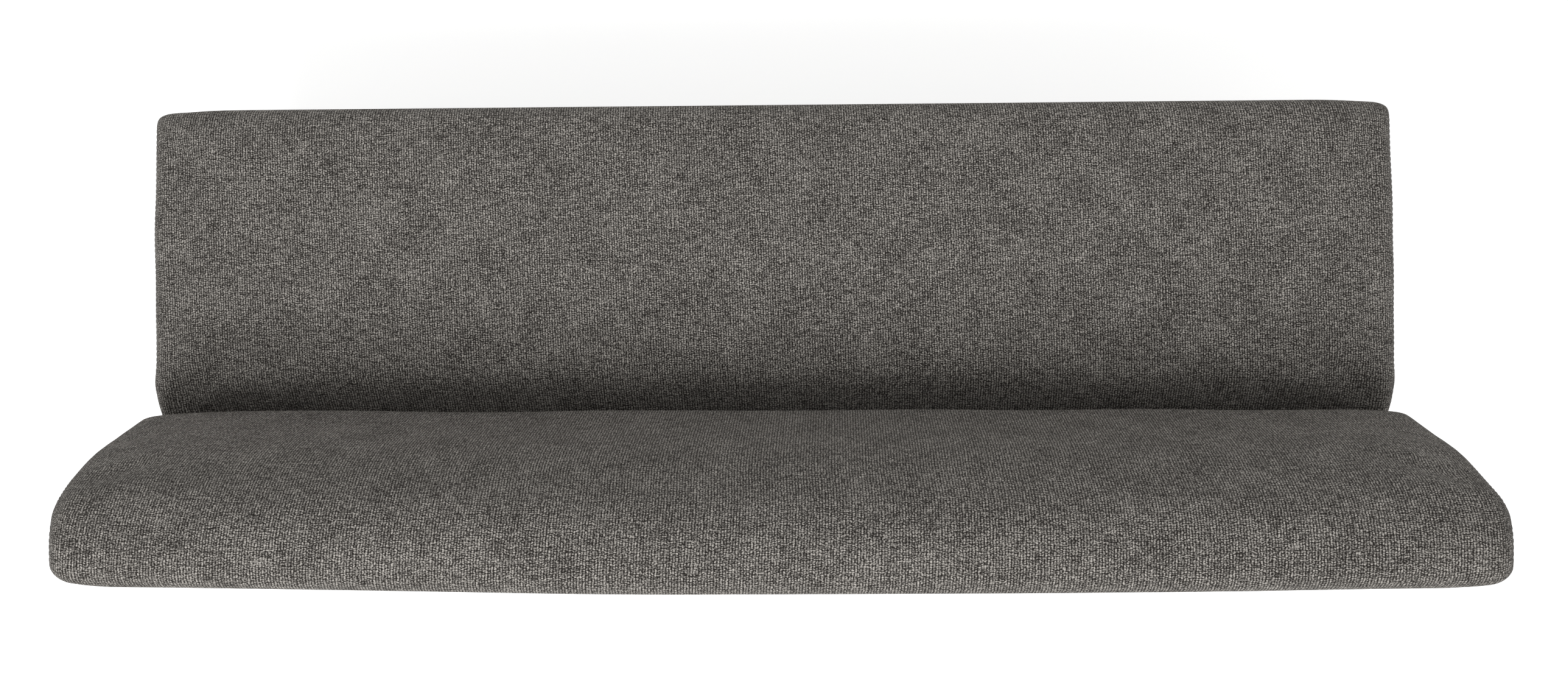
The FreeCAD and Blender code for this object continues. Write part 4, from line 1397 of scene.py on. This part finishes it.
    def screw_plates(self, plates: Sequence[Vector], steel: Finish) -> None:
        """Set a domed, cross-slotted screw head at each corner of each leg plate.

        Args:
            plates: middles of the plates' lower faces.
            steel: their finish.
        """
        quarter = self.head_sides // 4
        vertices: list[Vector] = []
        faces: list[Face] = []
        for plate in plates:
            for corner in ((-1, -1), (1, -1), (1, 1), (-1, 1)):
                middle = plate + Vector((corner[0] * self.screw_reach, corner[1] * self.screw_reach, 0.0))
                faces += tube_faces(len(vertices), len(self.head_rings), self.head_sides)
                for share, drop in self.head_rings:
                    for step in range(self.head_sides):
                        turn = 2 * math.pi * step / self.head_sides
                        arm = step % quarter in (0, 1, quarter - 1)
                        cross = self.cross_reach if arm else self.cross_waist
                        reach = self.head_radius * (share or cross)
                        vertices.append(middle + Vector((
                            reach * math.cos(turn), reach * math.sin(turn), -self.head_height * drop,
                        )))
        install(add_mesh("leg_plate_screws", vertices, faces), steel, Slot.SCREW)


class Frame:
    """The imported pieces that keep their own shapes: timber, webbing, board, legs, glides and screws."""

    def dress(self, steel: Finish) -> None:
        """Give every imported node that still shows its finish.

        Args:
            steel: finish of the screws.
        """
        finishes = {
            Slot.TIMBER.value: Board(), Slot.HARDBOARD.value: PressedBoard(), Slot.WEBBING.value: Webbing(),
            Slot.LEG.value: PowderCoat(), Slot.GLIDE.value: GlidePlastic(), Slot.SCREW.value: steel,
        }
        for part in frame["record"]["subparts"]:
            finish = finishes.get(part["material_slot"])
            if finish is None:
                continue
            node = frame["nodes"][part["node"]]
            node.data.materials.clear()
            node.data.materials.append(finish.material)
            log.info("%s: %s", part["node"], finish.name)


@dataclass
class Studio:
    """Floor, light and camera."""

    floor_size: float = 30.0
    lamp_size: Point = (2.2, 1.3)
    lamp_watts: float = 68.0
    lamp_at: Triple = (0.6, 1.75, 3.6)
    lamp_aim: Triple = (0.0, 0.0, 0.5)
    fill: float = 0.55
    background: float = 1.0
    fill_colour: str = "#ffffff"
    camera_at: Triple = (-0.0081, -0.0051, 2.9033)
    camera_turn: Triple = (-0.00719, 0.03761, math.pi - 0.00495)
    focal_px: float = 2765.0
    shift_px: Point = (124.4, -8.8)
    sensor_mm: float = 36.0

    def build(self) -> None:
        """Set up the floor, the light and the camera."""
        self.floor()
        self.light()
        self.camera()
        bpy.context.scene.view_settings.view_transform = "Standard"

    def floor(self) -> None:
        """Lay the studio paper."""
        half = self.floor_size / 2
        mesh = bpy.data.meshes.new("floor")
        corners = [(-half, -half, 0), (half, -half, 0), (half, half, 0), (-half, half, 0)]
        mesh.from_pydata(corners, [], [(0, 1, 2, 3)])
        floor = bpy.data.objects.new("floor", mesh)
        floor.data.materials.append(StudioFloor().material)
        bpy.context.scene.collection.objects.link(floor)
        floor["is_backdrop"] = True

    def light(self) -> None:
        """Hang one wide soft light overhead, a little behind, and fill from all round."""
        lamp = bpy.data.lights.new("overhead", "AREA")
        lamp.shape = "RECTANGLE"
        lamp.size, lamp.size_y = self.lamp_size
        lamp.energy = self.lamp_watts
        hung = bpy.data.objects.new("overhead", lamp)
        hung.location = self.lamp_at
        aim = Vector(self.lamp_aim) - Vector(self.lamp_at)
        hung.rotation_euler = aim.to_track_quat("-Z", "Y").to_euler()
        bpy.context.scene.collection.objects.link(hung)
        world = bpy.data.worlds.new("studio")
        world.use_nodes = True
        tree = world.node_tree
        tree.nodes.clear()
        levels = {"Value": background_rays(tree), "To Min": self.fill, "To Max": self.background}
        strength = add_node(tree, "ShaderNodeMapRange", levels).outputs["Result"]
        glow = {"Color": linear(self.fill_colour), "Strength": strength}
        sky = add_node(tree, "ShaderNodeBackground", glow).outputs["Background"]
        add_node(tree, "ShaderNodeOutputWorld", {"Surface": sky})
        bpy.context.scene.world = world

    def camera(self) -> None:
        """Look straight down, with the seat's front at the top of the picture."""
        eye = bpy.data.cameras.new("camera")
        eye.sensor_width = self.sensor_mm
        eye.sensor_fit = "HORIZONTAL"
        eye.lens = self.focal_px / PHOTO_WIDTH * self.sensor_mm
        eye.shift_x = self.shift_px[0] / PHOTO_WIDTH
        eye.shift_y = self.shift_px[1] / PHOTO_WIDTH
        seen = bpy.data.objects.new("camera", eye)
        seen.location = self.camera_at
        seen.rotation_euler = self.camera_turn
        bpy.context.scene.collection.objects.link(seen)
        bpy.context.scene.camera = seen


def write_sizes() -> None:
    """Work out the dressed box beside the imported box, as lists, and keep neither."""
    boxes = {"cad": CAD_BOX, "visual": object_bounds()}
    {name: [list(corner) for corner in box] for name, box in boxes.items()}


def main() -> None:
    """Build the bench's looks in order."""
    cover, thread, steel = WovenCover(), Thread(), ZincSteel()
    SeatCushion().build(cover, thread)
    back = BackCushion().build(cover, thread)
    OutsideBack().build(back, cover, thread)
    Underside().build(DustCloth(), steel)
    Frame().dress(steel)
    Studio().build()
    write_sizes()


if __name__ == "__main__":
    main()
